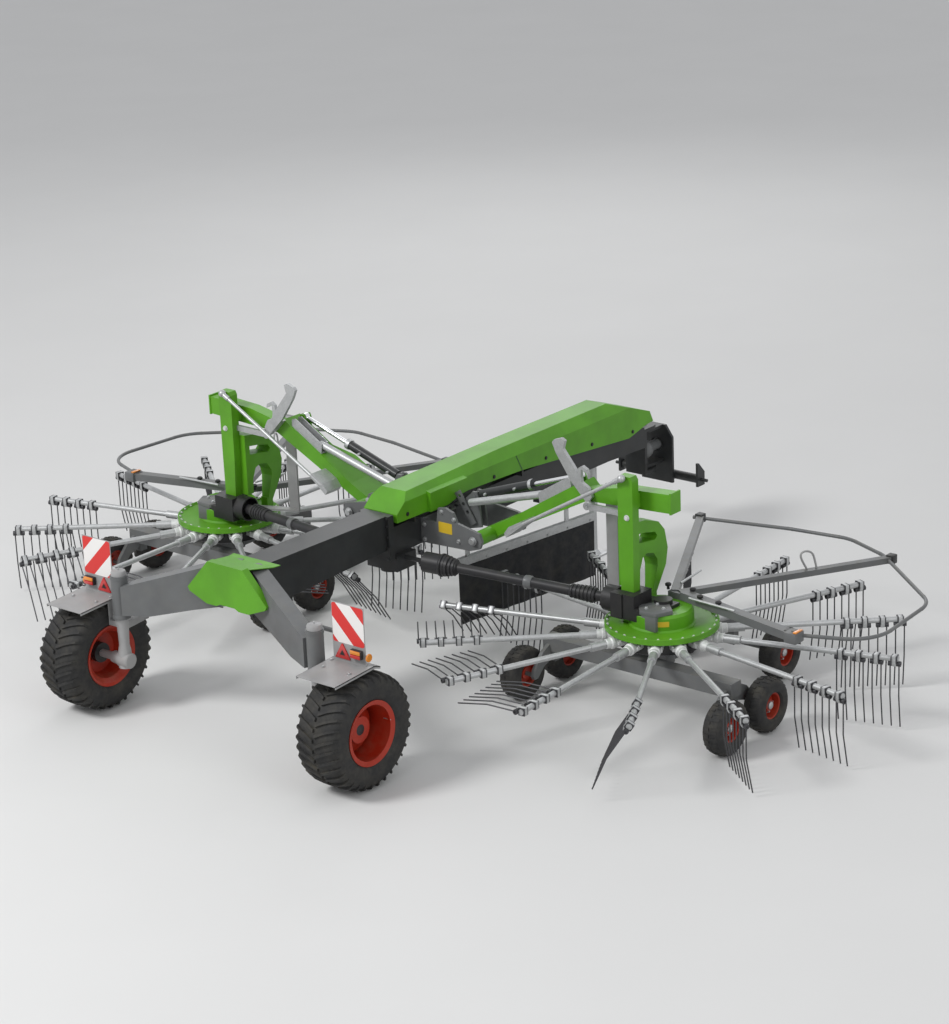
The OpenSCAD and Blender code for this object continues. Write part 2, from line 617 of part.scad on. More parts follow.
module rotor_frame() color(leaf_green) {
    plate_yz(concat([[1942, housing_top], [2038, housing_top], [2046, 1200], [2048, 1720], [2030, 1750], [1930, 1750]],
        [for (p = [post_edge[1], post_edge[0]]) [p.y, p.x]]), post_back, post_t);
    translate([post_back + post_t - 1, 1940, 1490])
        cube([inner_arm_back - seat_gap - post_back - post_t + 1, 80, 105]);
    difference() {
        plate_xz([for (p = portal_side) [fwd(p.x), p.y]], portal_y, portal_w);
        plate_xz([for (p = portal_window) [fwd(p.x), p.y]], portal_y, portal_w + 2);
        for (side = [1, -1]) plate_yz([[portal_y + side * (portal_w / 2 + 1), 1080], [portal_y + side * 28, 700],
            [portal_y + side * 200, 700], [portal_y + side * 200, 1080]], fwd(2480), 400);
    }
    translate([fwd(2535), portal_y - 35, housing_top + seat_gap]) cube([65, 70, 140]);
}

// Rotor housing, a disc with a dome
dome_r = 235;
dome_top = 760;
gearbox_low = 690;
gearbox_plan = [300, 330];

module post_room() translate([post_back - seat_gap, post_edge[1].y - seat_gap, housing_top])
    cube([post_t + 2 * seat_gap, 134, 1200]);

module rotor_housing() color(leaf_green) difference() {
    translate([rotor_x, rotor_y, 0]) rotate_extrude() polygon([[0, 618], [housing_d / 2, 618], [housing_d / 2, 648],
        [housing_d / 2 - 15, 648], [housing_d / 2 - 25, housing_top], [dome_r + 12, housing_top],
        [dome_r, housing_top + 12], [dome_r, dome_top - 20], [dome_r - 15, dome_top], [0, dome_top]]);
    post_room();
    translate([fwd(2140) - seat_gap, 1955 - seat_gap, gearbox_low - seat_gap])
        cube([gearbox_plan.x + 2 * seat_gap, gearbox_plan.y + 2 * seat_gap, 200]);
}

// Gearbox on the rotor, with the bell in which the side shaft ends
module rotor_gearbox() color(soft_black) difference() {
    union() {
        translate([fwd(2140), 1955, gearbox_low]) cube([gearbox_plan.x, gearbox_plan.y, 95]);
        translate([fwd(2140), 1955, gearbox_low]) cube([220, 140, gearbox_top - gearbox_low]);
        translate([fwd(2370), 2190, gearbox_low]) cylinder(r = 68, h = 125);
        difference() {
            along_y(shaft_out.x, 1795, shaft_out.z, 98, 110);
            along_y(shaft_out.x, 1794, shaft_out.z, 88, 100);
        }
        translate([shaft_out.x - 100, 1893, gearbox_low]) cube([180, 15, 190]);
        translate([shaft_out.x - 100, 1893, gearbox_low]) cube([80, 100, 190]);
        along_y(shaft_out.x, 1855, shaft_out.z, stub_r, 45);
    }
    post_room();
}

// Chassis under the rotor: column, cross beam, tandem bogies and front wheel beam
// columns: x of the wheel ahead of the axle, y measured from the rotor centre
tandem_wheels = [[1860, 905], [2360, 905], [1860, -905], [2360, -905]];
front_wheel_x = 3250;
front_wheel_y = 430;
column_r = 90;
small_z = small_d / 2;
spindle_r = 16;

// Side view of the tandem's rocker between its two wheels
rocker = [[1832, small_z], [1842, small_z - 26], [1880, small_z - 26], [1960, 250], [2110, 300], [2260, 250],
    [2340, small_z - 26], [2378, small_z - 26], [2388, small_z], [2375, 250], [2270, 360], [2190, 400],
    [2030, 400], [1950, 360], [1845, 250]];

module chassis() color(mid_grey) translate([0, rotor_y, 0]) {
    cross_x = fwd(2090);
    translate([rotor_x, 0, 330]) cylinder(r = column_r, h = 618 - 330);
    translate([cross_x - 60, -840, 340]) cube([120, 1680, 110]);
    translate([cross_x, -70, 340]) cube([rotor_x - cross_x + 90, 140, 110]);
    translate([rotor_x, -50, 345]) cube([fwd(front_wheel_x) - rotor_x + 40, 100, 90]);
    for (side = [1, -1]) {
        translate([fwd(2110), side * 790, 250]) translate([-35, -25, 0]) cube([70, 50, 120]);
        plate_xz([for (p = rocker) [fwd(p.x), p.y]], side * 790, 30);
    }
    for (w = tandem_wheels) mirror([0, w[1] > 0 ? 0 : 1, 0])
        along_y(fwd(w[0]), 780, small_z, spindle_r, 905 - 780 + 40);
    translate([fwd(front_wheel_x), 0, small_z - 25]) translate([-30, -40, 0]) cube([60, 80, 220]);
    along_y(fwd(front_wheel_x), -front_wheel_y - 40, small_z, spindle_r, 2 * front_wheel_y + 80);
}

// Guards around the front and the outside of the rotor
guard_z = 760;
hoop_r = 14;
hoop_bend = 320;
hoop = [[2400, 3240], [2620, 3820], [3470, 3750], [4140, 2950], [4320, 2530], [4260, 2030], [4080, 1250]];

module guard() color(mid_grey) {
    translate([fwd(2530), rotor_y - 60, dome_top + seat_gap]) cube([60, 220, 50]);
    square_bar([fwd(2560), rotor_y + 60, guard_z + 36], [fwd(2390), 3300, guard_z], 80, 60);
    square_bar([fwd(2560), rotor_y + 20, guard_z + 36], [fwd(4110), 3035, guard_z], 60, 45);
    square_bar([fwd(2560), rotor_y - 20, guard_z + 36], [fwd(4095), 1300, guard_z], 60, 45);
    bent_tube([for (p = hoop) [fwd(p.x), p.y]], guard_z, hoop_bend, hoop_r);
}

// Lift cylinder, drawn along its own axis from the base pin
lift_run = lift_eye - lift_base;
lift_length = norm(lift_run);
barrel_out = 580;
lift_barrel_r = 36;
lift_rod_r = 18;

module on_lift() translate([lift_x, lift_base.x, lift_base.y]) rotate([atan2(lift_run.y, lift_run.x), 0, 0]) children();

module lift_barrel() color(dark_frame) on_lift() difference() {
    union() {
        along_y(0, 45, 0, lift_barrel_r, barrel_out - 45);
        translate([-eye_w / 2, 0, -25]) cube([eye_w, 60, 50]);
        along_x(-eye_w / 2, 0, 0, eye_r, eye_w);
        along_y(0, barrel_out - 30, 0, lift_barrel_r + 6, 30);
    }
    along_x(-eye_w, 0, 0, lift_pin_r + pin_gap, 2 * eye_w);
    along_y(0, 70, 0, lift_rod_r + pin_gap, barrel_out);
}

module lift_rod() color(cast_white) on_lift() {
    along_y(0, barrel_out - 50, 0, lift_rod_r, lift_length - barrel_out + 30);
    along_x(-eye_w / 2, lift_length, 0, eye_r, eye_w);
}

// Side shaft from the central gearbox to the rotor gearbox
shaft_run = shaft_out - shaft_in;
shaft_turn = atan2(shaft_run.y, shaft_run.x) - 90;
shaft_tilt = atan2(shaft_run.z, norm([shaft_run.x, shaft_run.y]));

module drive_shaft() color(soft_black) difference() {
    translate(shaft_in) rotate([shaft_tilt, 0, shaft_turn]) {
        difference() {
            union() {
                along_y(0, 12, 0, 78, 208);
                along_y(0, 219, 0, 38, 700);
                along_y(0, 850, 0, 40, norm(shaft_run) - 850 - 70);
            }
            along_y(0, 11, 0, 66, 139);
        }
        for (x = [-42, 26]) translate([x, -16, -28]) cube([16, 180, 56]);
    }
    translate(shaft_in) along_x(-200, 0, 0, cross_r + pin_gap, 400);
}

// Rotor: turning hub with the tine arms
socket_end = 600;
hub_r = 330;
// Angle of one arm on the left rotor and on the mirrored right rotor
arm_phase_left = -0.1;
arm_phase_right = -3;

module around(phase) translate([rotor_x, rotor_y, arm_z])
    for (i = [0:arm_count - 1]) rotate([0, 0, phase + i * 360 / arm_count]) children();

module tine_arms(phase) color(galvanised) union() {
    translate([rotor_x, rotor_y, 0]) rotate_extrude() polygon([[column_r + pin_gap, 500], [hub_r, 500], [hub_r, 530],
        [hub_r - 20, 606], [column_r + pin_gap, 606]]);
    around(phase) {
        along_x(hub_r - 40, 0, 0, 38, 120);
        along_x(hub_r + 60, 0, 0, 32, socket_end - hub_r - 60);
        along_x(socket_end - 20, 0, 0, arm_d / 2, arm_reach - socket_end + 20);
    }
}

// Tines hang down outside and are rolled back over the swath side
lift_middle = 205;
lift_half = 62;
lift_ramp = 22;
function turn_gap_to(a) = abs((a - lift_middle + 900) % 360 - 180);
function tine_roll(a) = 90 * max(0, min(1, (lift_half - turn_gap_to(a)) / lift_ramp));
holder = [46, 56, 50];
prong_apart = 64;
coil_r = 14;
// The coil lies just clear of the arm, in the foot of the holder
coil_z = -arm_d / 2 - 2 * pin_gap - coil_r;

// The prongs are straight down to this share of their drop, and bent back from there on
bend_share = 0.5;
tine_bend = 10;

module double_tine() {
    drop = arm_z - tine_ground + coil_z;
    knee = coil_z - drop * bend_share;
    difference() {
        translate([-holder.x / 2, -holder.y / 2, -holder.z / 2]) cube(holder);
        along_x(-holder.x, 0, 0, arm_d / 2 + pin_gap, 2 * holder.x);
    }
    along_x(-prong_apart / 2 - 8, 0, coil_z, coil_r, prong_apart + 16);
    for (x = [-prong_apart / 2, prong_apart / 2]) {
        translate([x, 0, knee]) cylinder(d = tine_wire, h = coil_z - knee);
        translate([x, 0, knee]) rotate([180 - tine_bend, 0, 0])
            translate([0, 0, -2]) cylinder(d = tine_wire, h = drop * (1 - bend_share) / cos(tine_bend));
    }
}

module tines(phase) color(soft_black) translate([rotor_x, rotor_y, arm_z]) for (i = [0:arm_count - 1]) {
    a = phase + i * 360 / arm_count;
    rotate([0, 0, a]) rotate([tine_roll(a), 0, 0]) for (k = [0:tine_count - 1])
        translate([arm_reach - holder.x / 2 - 6 - k * tine_pitch, 0, 0]) double_tine();
}

// Small rotor wheel, rim and tyre in one
module small_wheel() {
    r = small_d / 2;
    h = small_w / 2;
    rotate([90, 0, 0]) rotate_extrude() polygon([[spindle_r + pin_gap, -30], [60, -30], [60, -12], [95, -h + 10], [105, -h],
        [r - 45, -h], [r - 12, -h + 14], [r, -h + 40], [r, h - 40], [r - 12, h - 14], [r - 45, h], [105, h], [95, h - 10],
        [60, 12], [60, 30], [spindle_r + pin_gap, 30]]);
}

module tandem_wheel(number) color(tyre_black)
    translate([fwd(tandem_wheels[number - 1][0]), rotor_y + tandem_wheels[number - 1][1], small_z]) small_wheel();

module front_wheels() color(tyre_black) for (side = [1, -1])
    translate([fwd(front_wheel_x), rotor_y + side * front_wheel_y, small_z]) small_wheel();

main_beam();
hitch_fork();
axle_beam();
rear_cover();
hood();
central_gearbox();
headstock();
drive_stub();
track_rod();
jack_tube();
jack_leg();
curtain_bar();
curtain();
on_side(1) knuckle();  // knuckle_left
on_side(-1) knuckle();  // knuckle_right
on_side(1) mudguard();  // mudguard_left
on_side(-1) mudguard();  // mudguard_right
on_side(1) rim();  // rim_left
on_side(-1) rim();  // rim_right
on_side(1) tyre();  // tyre_left
on_side(-1) tyre();  // tyre_right
on_side(1) boom_bracket();  // boom_bracket_left
on_side(-1) boom_bracket();  // boom_bracket_right
on_side(1) boom();  // boom_left
on_side(-1) boom();  // boom_right
on_side(1) boom_links(1);  // boom_links_left
on_side(-1) boom_links(-1);  // boom_links_right
on_side(1) rotor_frame();  // rotor_frame_left
on_side(-1) rotor_frame();  // rotor_frame_right
on_side(1) rotor_housing();  // rotor_housing_left
on_side(-1) rotor_housing();  // rotor_housing_right
on_side(1) rotor_gearbox();  // rotor_gearbox_left
on_side(-1) rotor_gearbox();  // rotor_gearbox_right
on_side(1) chassis();  // chassis_left
on_side(-1) chassis();  // chassis_right
on_side(1) guard();  // guard_left
on_side(-1) guard();  // guard_right
on_side(1) lift_barrel();  // lift_barrel_left
on_side(-1) lift_barrel();  // lift_barrel_right
on_side(1) lift_rod();  // lift_rod_left
on_side(-1) lift_rod();  // lift_rod_right
on_side(1) drive_shaft();  // drive_shaft_left
on_side(-1) drive_shaft();  // drive_shaft_right
on_side(1) tine_arms(arm_phase_left);  // tine_arms_left
on_side(-1) tine_arms(arm_phase_right);  // tine_arms_right
on_side(1) tines(arm_phase_left);  // tines_left
on_side(-1) tines(arm_phase_right);  // tines_right
for (n = wheel_numbers) {
    on_side(1) tandem_wheel(n);
    on_side(-1) tandem_wheel(n);
}
on_side(1) front_wheels();  // front_wheels_left
on_side(-1) front_wheels();  // front_wheels_right
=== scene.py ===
import math
import bpy
from mathutils import Matrix, Vector


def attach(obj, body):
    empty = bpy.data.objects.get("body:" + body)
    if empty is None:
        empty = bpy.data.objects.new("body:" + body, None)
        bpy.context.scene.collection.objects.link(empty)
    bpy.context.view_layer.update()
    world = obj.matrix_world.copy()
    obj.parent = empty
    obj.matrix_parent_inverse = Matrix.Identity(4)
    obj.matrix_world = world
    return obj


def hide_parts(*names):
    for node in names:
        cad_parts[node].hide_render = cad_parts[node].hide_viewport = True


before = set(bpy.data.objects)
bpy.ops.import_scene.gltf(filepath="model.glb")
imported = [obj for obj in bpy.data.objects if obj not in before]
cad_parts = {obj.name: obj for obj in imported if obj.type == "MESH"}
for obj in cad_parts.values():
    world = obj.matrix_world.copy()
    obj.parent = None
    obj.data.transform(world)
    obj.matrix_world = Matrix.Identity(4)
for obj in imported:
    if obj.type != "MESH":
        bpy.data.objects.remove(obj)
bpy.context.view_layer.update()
axleX = -2.528  # the transport axle; the sizes below are metres ahead of it
sides = {"left": 1, "right": -1}
upward, backward = (0, 0, 1), (-1, 0, 0)


def ahead(x, y, z):  # a point given ahead of the transport axle
    return Vector((axleX + x, y, z))


def placed(sign, *places):  # such points on the left side, sign 1, or mirrored to the right, sign -1
    return [ahead(x, sign * y, z) for x, y, z in places]


# Shader maths
class Wire:
    def __init__(self, finish, socket):
        self.finish, self.socket = finish, socket

    def __add__(self, other):
        return self.finish.maths("ADD", self, other)

    def __mul__(self, other):
        return self.finish.maths("MULTIPLY", self, other)

    def __rsub__(self, other):
        return self.finish.maths("SUBTRACT", other, self)

    def __truediv__(self, other):
        return self.finish.maths("DIVIDE", self, other)

    def __lt__(self, other):
        return self.finish.maths("LESS_THAN", self, other)

    __radd__, __rmul__ = __add__, __mul__


class Finish:
    def __init__(self, name, metallic=0.0, specular=0.5):
        self.material = bpy.data.materials.new(name)
        self.material.use_nodes = True
        self.tree = self.material.node_tree
        self.shader = self.tree.nodes["Principled BSDF"]
        self.places = self.node("ShaderNodeTexCoord", {}, {}, "Object")
        self.set(Metallic=metallic, Specular_IOR_Level=specular)

    def feed(self, socket, value):  # a wire is linked, a value is set, and a colour gets its alpha
        if isinstance(value, Wire):
            self.tree.links.new(value.socket, socket)
        else:
            socket.default_value = (*value, 1) if socket.type == "RGBA" else value

    def node(self, kind, settings, inputs, out=0):  # inputs by the name or the number of their socket
        made = self.tree.nodes.new(kind)
        for key, value in settings.items():
            setattr(made, key, value)
        for key, value in inputs.items():
            self.feed(made.inputs[key], value)
        return Wire(self, made.outputs[out])

    def maths(self, operation, *terms):
        return self.node("ShaderNodeMath", {"operation": operation}, dict(enumerate(terms)))

    def noise(self, scale, detail=3.0, rough=0.55):
        inputs = {"Vector": self.places, "Scale": scale, "Detail": detail, "Roughness": rough}
        return self.node("ShaderNodeTexNoise", {}, inputs)

    def axis(self, name, vector=None):
        return self.node("ShaderNodeSeparateXYZ", {}, {0: vector or self.places}, name)

    def fade(self, value, low, high, start=0.0, end=1.0):
        inputs = dict(enumerate((value, low, high, start, end)))
        return self.node("ShaderNodeMapRange", {"clamp": True}, inputs)

    def mix(self, share, first, second):  # a colour mix has its colours at sockets 6 and 7
        return self.node("ShaderNodeMix", {"data_type": "RGBA"}, {0: share, 6: first, 7: second}, 2)

    def bump(self, height, distance, strength):
        inputs = {"Height": height, "Distance": distance, "Strength": strength}
        self.set(Normal=self.node("ShaderNodeBump", {}, inputs))

    def set(self, **sockets):
        for name, value in sockets.items():
            self.feed(self.shader.inputs[name.replace("_", " ")], value)
        return self.material


# Finishes
dirt = {"dust": (0.30, 0.26, 0.17), "low": 0.15, "high": 1.3}


def shade(colour, times):
    return tuple(min(1, part * times) for part in colour)


def dusty(finish, colour, amount):  # more dust low down and on faces that look up
    normal = finish.node("ShaderNodeNewGeometry", {}, {}, "Normal")
    up = finish.fade(finish.axis("Z", normal), 0.2, 1.0)
    depth = finish.fade(finish.axis("Z"), dirt["low"], dirt["high"], 1.0, 0.25)
    patches = finish.fade(finish.noise(9.0, 6.0, 0.65), 0.42, 0.72)
    cover = patches * depth * (0.35 + up * 0.65) * amount
    return finish.mix(cover, colour, dirt["dust"]), cover


def paint(name, colour, rough, dust=0.25, coat=0.12, fleck=0.08):
    finish = Finish(name, specular=0.32)
    mottle = finish.fade(finish.noise(3.5, 4.0), 0.35, 0.65)
    base = finish.mix(mottle, shade(colour, 1 - fleck * 1.6), shade(colour, 1 + fleck))
    shown, cover = dusty(finish, base, dust)
    finish.bump(finish.noise(420.0, 2.0) * 0.5 + finish.noise(60.0, 2.0) * 0.5, 0.0004, 0.6)
    return finish.set(Base_Color=shown, Roughness=rough + cover * 0.4, Coat_Weight=coat * (1 - cover),
                      Coat_Roughness=0.12)


def zinc(name, colour, rough, spangle=70.0, metallic=0.75):
    finish = Finish(name)
    grainInputs = {"Vector": finish.places, "Scale": spangle}
    grain = finish.node("ShaderNodeTexVoronoi", {"feature": "F1"}, grainInputs, "Color")
    tone, streak = finish.axis("X", grain), finish.noise(14.0, 5.0, 0.6)
    level = finish.fade(tone * 0.35 + streak * 0.65, 0.25, 0.75)
    shown, cover = dusty(finish, finish.mix(level, shade(colour, 0.86), shade(colour, 1.05)), 0.1)
    finish.bump(streak * 0.6 + tone * 0.4, 0.0005, 0.4)
    return finish.set(Base_Color=shown, Roughness=rough + tone * 0.12 + cover * 0.2,
                      Metallic=metallic * (1 - cover))


def rubber(name, colour, rough=0.72):
    finish = Finish(name, specular=0.35)
    worn = finish.mix(finish.fade(finish.noise(18.0, 6.0, 0.7), 0.4, 0.8), colour, shade(colour, 1.6))
    shown, cover = dusty(finish, worn, 0.22)
    finish.bump(finish.noise(260.0, 4.0), 0.0006, 0.7)
    return finish.set(Base_Color=shown, Roughness=rough + cover * 0.2)


def steel(name, colour, rough):
    finish = Finish(name, metallic=1.0)
    streak = finish.noise(90.0, 4.0)
    finish.bump(streak, 0.0002, 0.3)
    shown = finish.mix(streak, shade(colour, 0.8), colour)
    return finish.set(Base_Color=shown, Roughness=rough + streak * 0.1)


stripeSet = {"white": (0.82, 0.80, 0.78), "red": (0.66, 0.022, 0.018), "repeat": 0.27, "start": 0.519}


def stripes(name, settings):  # bars at 45 degrees on the sign panels, mirrored left and right
    finish = Finish(name)
    slope = finish.maths("ABSOLUTE", finish.axis("Y")) + finish.axis("Z")
    phase = finish.maths("FRACT", slope / settings["repeat"] + settings["start"])
    shown, cover = dusty(finish, finish.mix(phase < 0.5, settings["white"], settings["red"]), 0.15)
    finish.bump(finish.noise(500.0, 2.0), 0.0002, 0.4)
    return finish.set(Base_Color=shown, Roughness=0.38 + cover * 0.3)


green = paint("Leaf green paint", (0.098, 0.322, 0.010), 0.46, dust=0.12)
darkGreen = paint("Dark green paint", (0.022, 0.085, 0.018), 0.4, dust=0.2)
anthracite = paint("Anthracite frame paint", (0.024, 0.026, 0.027), 0.42, dust=0.14, fleck=0.15)
midGrey = paint("Mid grey paint", (0.135, 0.14, 0.142), 0.45, dust=0.3)
paleGrey = paint("Pale grey sheet", (0.33, 0.33, 0.33), 0.45, dust=0.25, coat=0.1)
rimRed = paint("Rim red paint", (0.38, 0.024, 0.008), 0.42, dust=0.25)
blackPaint = paint("Black paint", (0.018, 0.018, 0.019), 0.45, dust=0.12)
plastic = paint("Black plastic", (0.024, 0.024, 0.026), 0.45, dust=0.12, coat=0.0)
amber = paint("Amber lens", (0.80, 0.26, 0.010), 0.14, dust=0.1, coat=1.0)
redLens = paint("Red lens", (0.55, 0.012, 0.010), 0.14, dust=0.1, coat=1.0)
yellow = paint("Bare yellow plate", (0.62, 0.42, 0.03), 0.4, dust=0.1)
galvanised = zinc("Galvanised steel", (0.50, 0.51, 0.51), 0.40)
brightTube = zinc("Galvanised tube", (0.47, 0.48, 0.48), 0.36, spangle=90.0, metallic=0.6)
castWhite = zinc("Cast zinc socket", (0.70, 0.71, 0.70), 0.5, spangle=160.0, metallic=0.35)
chrome = steel("Chrome rod", (0.78, 0.79, 0.80), 0.12)
springSteel = steel("Dark spring steel", (0.10, 0.10, 0.105), 0.45)
tyreRubber = rubber("Tyre rubber", (0.022, 0.022, 0.022))
cloth = rubber("Curtain fabric", (0.014, 0.015, 0.017), 0.8)
signPaint = stripes("Striped sign film", stripeSet)
print("finishes made")

nodeFinishes = {
    green: ["rear_cover", "hood", "boom", "rotor_frame", "rotor_housing"],
    anthracite: ["main_beam", "central_gearbox", "headstock", "lift_barrel", "hitch_fork"],
    midGrey: ["axle_beam", "drive_stub", "track_rod", "boom_bracket", "chassis", "guard"],
    paleGrey: ["mudguard", "knuckle"],
    rimRed: ["rim"],
    blackPaint: ["rotor_gearbox"],
    plastic: ["drive_shaft"],
    galvanised: ["jack_tube", "jack_leg", "curtain_bar"],
    brightTube: ["tine_arms", "boom_links"],
    chrome: ["lift_rod"],
    springSteel: ["tines"],
    tyreRubber: ["tyre", "wheel", "front_wheels"],
    cloth: ["curtain"],
}
for name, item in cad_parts.items():
    for finish, stems in nodeFinishes.items():
        if any(name == stem or name.startswith((stem + "_left", stem + "_right")) for stem in stems):
            item.data.materials.clear()
            item.data.materials.append(finish)


# Modelling by hand: each helper starts from a primitive and shapes it in edit mode
def letGo():
    if bpy.context.object and bpy.context.object.mode != "OBJECT":
        bpy.ops.object.mode_set(mode="OBJECT")
    bpy.ops.object.select_all(action="DESELECT")


def takeUp(piece):  # the piece alone is selected and active
    letGo()
    piece.select_set(True)
    bpy.context.view_layer.objects.active = piece


def tidied(piece, weld=0.00005):
    takeUp(piece)
    bpy.ops.object.mode_set(mode="EDIT")
    bpy.ops.mesh.select_all(action="SELECT")
    bpy.ops.mesh.remove_doubles(threshold=weld)
    bpy.ops.mesh.normals_make_consistent(inside=False)
    bpy.ops.object.mode_set(mode="OBJECT")
    return piece


def bevelled(piece, width, segments=2):
    takeUp(piece)
    modifier = piece.modifiers.new("Bevel", "BEVEL")
    modifier.width, modifier.segments = width, segments
    modifier.limit_method, modifier.angle_limit = "ANGLE", math.radians(30)
    bpy.ops.object.modifier_apply(modifier=modifier.name)
    return piece


def outlined(name, spots, fill):  # a circle whose corners are moved to the given points
    letGo()
    bpy.ops.mesh.primitive_circle_add(vertices=len(spots), radius=1, fill_type=fill)
    piece = bpy.context.object
    piece.name = name
    for vertex, spot in zip(piece.data.vertices, spots):
        vertex.co = spot
    bpy.ops.object.mode_set(mode="EDIT")
    bpy.ops.mesh.select_all(action="SELECT")


def plate(name, spots, through, bevel=0.0):  # an outline of points pushed along the vector through
    outlined(name, spots, "NGON")
    bpy.ops.mesh.extrude_region_move(TRANSFORM_OT_translate={"value": through})
    piece = tidied(bpy.context.object)
    return bevelled(piece, bevel) if bevel else piece


def turned(name, profile, centre, axis, steps=48):  # (along the axis, radius) pairs, spun about the axis
    axis = Vector(axis).normalized()
    side = axis.orthogonal().normalized()
    outlined(name, [Vector(centre) + axis * along + side * radius for along, radius in profile], "NOTHING")
    bpy.ops.mesh.spin(steps=steps, angle=2 * math.pi, center=centre, axis=axis)
    return tidied(bpy.context.object)


def box(name, low, high, bevel=0.003, segments=2):
    letGo()
    low, high = Vector(low), Vector(high)
    bpy.ops.mesh.primitive_cube_add(size=1, location=(low + high) / 2)
    piece = bpy.context.object
    piece.name = name
    piece.scale = [abs(v) for v in high - low]
    bpy.ops.object.transform_apply(location=True, rotation=True, scale=True)
    return bevelled(piece, bevel, segments)


def rod(name, start, end, radius, around=16, bevel=0.0):
    start, end = Vector(start), Vector(end)
    letGo()
    bpy.ops.mesh.primitive_cylinder_add(vertices=around, radius=radius, depth=(end - start).length,
                                        location=(start + end) / 2,
                                        rotation=(end - start).to_track_quat("Z", "Y").to_euler())
    piece = bpy.context.object
    piece.name = name
    bpy.ops.object.transform_apply(location=True, rotation=True, scale=True)
    return bevelled(piece, bevel, 1) if bevel else piece


def copied(piece, place):  # a copy with its own mesh, moved by a matrix
    twin = bpy.data.objects.new(piece.name, piece.data.copy())
    twin.data.transform(place)
    if place.determinant() < 0:
        twin.data.flip_normals()
    bpy.context.scene.collection.objects.link(twin)
    return twin


def joined(name, pieces):
    takeUp(pieces[0])
    for piece in pieces:
        piece.select_set(True)
    if len(pieces) > 1:
        bpy.ops.object.join()
    whole = bpy.context.object
    whole.name = name
    return whole


def repeated(name, piece, places):  # copies moved to the places and joined
    row = [copied(piece, Matrix.Translation(place)) for place in places]
    bpy.data.objects.remove(piece)
    return joined(name, row)


def roundAngles(count, start=0.0):  # evenly spread over a full turn, begun at a share of a step
    return [2 * math.pi * (k + start) / count for k in range(count)]


def spreadRound(name, piece, centre, axis, angles):  # copies turned about an axis and joined
    centre = Matrix.Translation(centre)
    ring = [copied(piece, centre @ Matrix.Rotation(a, 4, Vector(axis)) @ centre.inverted()) for a in angles]
    bpy.data.objects.remove(piece)
    return joined(name, ring)


def fitted(piece, name, finish, body, stands=(), smooth=35):
    takeUp(piece)
    bpy.ops.object.transform_apply(location=True, rotation=True, scale=True)
    bpy.ops.object.shade_smooth_by_angle(angle=math.radians(smooth))
    piece.name = name
    piece.data.name = name
    piece.data.materials.clear()
    piece.data.materials.append(finish)
    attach(piece, body)
    if stands:
        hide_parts(*stands)
    return piece


def boltHead(place, axis, across, high):  # a six-sided head on a washer
    place, axis = Vector(place), Vector(axis).normalized()
    washer = rod("washer", place, place + axis * 0.003, across * 0.68, 12)
    head = rod("head", place + axis * 0.002, place + axis * high, across / 2, 6, 0.0012)
    return joined("bolt", [washer, head])


def bolts(name, places, axis, finish, body, across, high):
    row = repeated(name, boltHead((0, 0, 0), axis, across, high), places)
    fitted(row, name, finish, body)


def tyreSection(flank, crown):  # one flank from bead to tread, and the same on the other side
    return [(-y, radius) for y, radius in flank] + [(0.0, crown)] + flank[::-1]


# Road tyres: bar tread in a herringbone on a carcass that stands inside the part's own tyre
roadTyre = {"middle": 1.28, "radius": 0.425, "crown": 0.408,
            "flank": [(0.183, 0.262), (0.1895, 0.285), (0.190, 0.318), (0.187, 0.345), (0.178, 0.371),
                      (0.160, 0.390), (0.120, 0.402), (0.060, 0.407)],
            "innerBead": [(-0.1496, 0.2103), (-0.165, 0.236)],
            "outerBead": [(0.1645, 0.236), (0.1495, 0.2236), (0.1355, 0.2103)]}
treadBars = {"count": 34, "slant": 0.20, "curve": 0.8, "wide": 0.027, "taper": 0.12, "crestShare": 0.8,
             "steps": [(0.006, 0.408, 0.424), (0.075, 0.406, 0.4225), (0.135, 0.399, 0.4175),
                       (0.168, 0.383, 0.405), (0.184, 0.355, 0.372)]}  # out from the middle, foot, crest
roadHub = {"cap": [(-0.07, 0.0), (-0.07, 0.075), (-0.02, 0.075), (-0.012, 0.062), (0.03, 0.055),
                   (0.055, 0.048), (0.062, 0.036), (0.062, 0.0)],
           "nuts": 6, "nutRing": 0.078, "nutBack": 0.004, "nutAcross": 0.03, "nutHigh": 0.024,
           "valve": ((0.2, 0.1, 0.03), (0.205, 0.162, 0.03)), "valveRadius": 0.006}


def treadBar(settings, out):  # one slanted bar from the middle of the tread to the shoulder, out = 1 or -1
    low, high = [], []
    reach = settings["steps"][-1][0]
    for step, (across, foot, crest) in enumerate(settings["steps"]):
        lean = settings["slant"] * (across / reach) ** settings["curve"]
        for edge in (-1, 1):
            half = edge * settings["wide"] / 2 / foot * (1 - settings["taper"] * step)
            for row, radius, angle in ((low, foot, lean + half),
                                       (high, crest, lean + half * settings["crestShare"])):
                row.append((radius * math.sin(angle), across * out, radius * math.cos(angle)))
    letGo()
    bpy.ops.mesh.primitive_grid_add(x_subdivisions=1, y_subdivisions=len(settings["steps"]) - 1, size=1)
    piece = bpy.context.object
    for vertex, spot in zip(piece.data.vertices, high):
        vertex.co = spot
    bpy.ops.object.mode_set(mode="EDIT")
    bpy.ops.mesh.select_all(action="SELECT")
    bpy.ops.mesh.extrude_region_move(TRANSFORM_OT_translate={"value": (0, 0, -0.02)})
    bpy.ops.object.mode_set(mode="OBJECT")
    for vertex, spot in zip(list(piece.data.vertices)[len(high):], low):
        vertex.co = spot
    return tidied(piece)


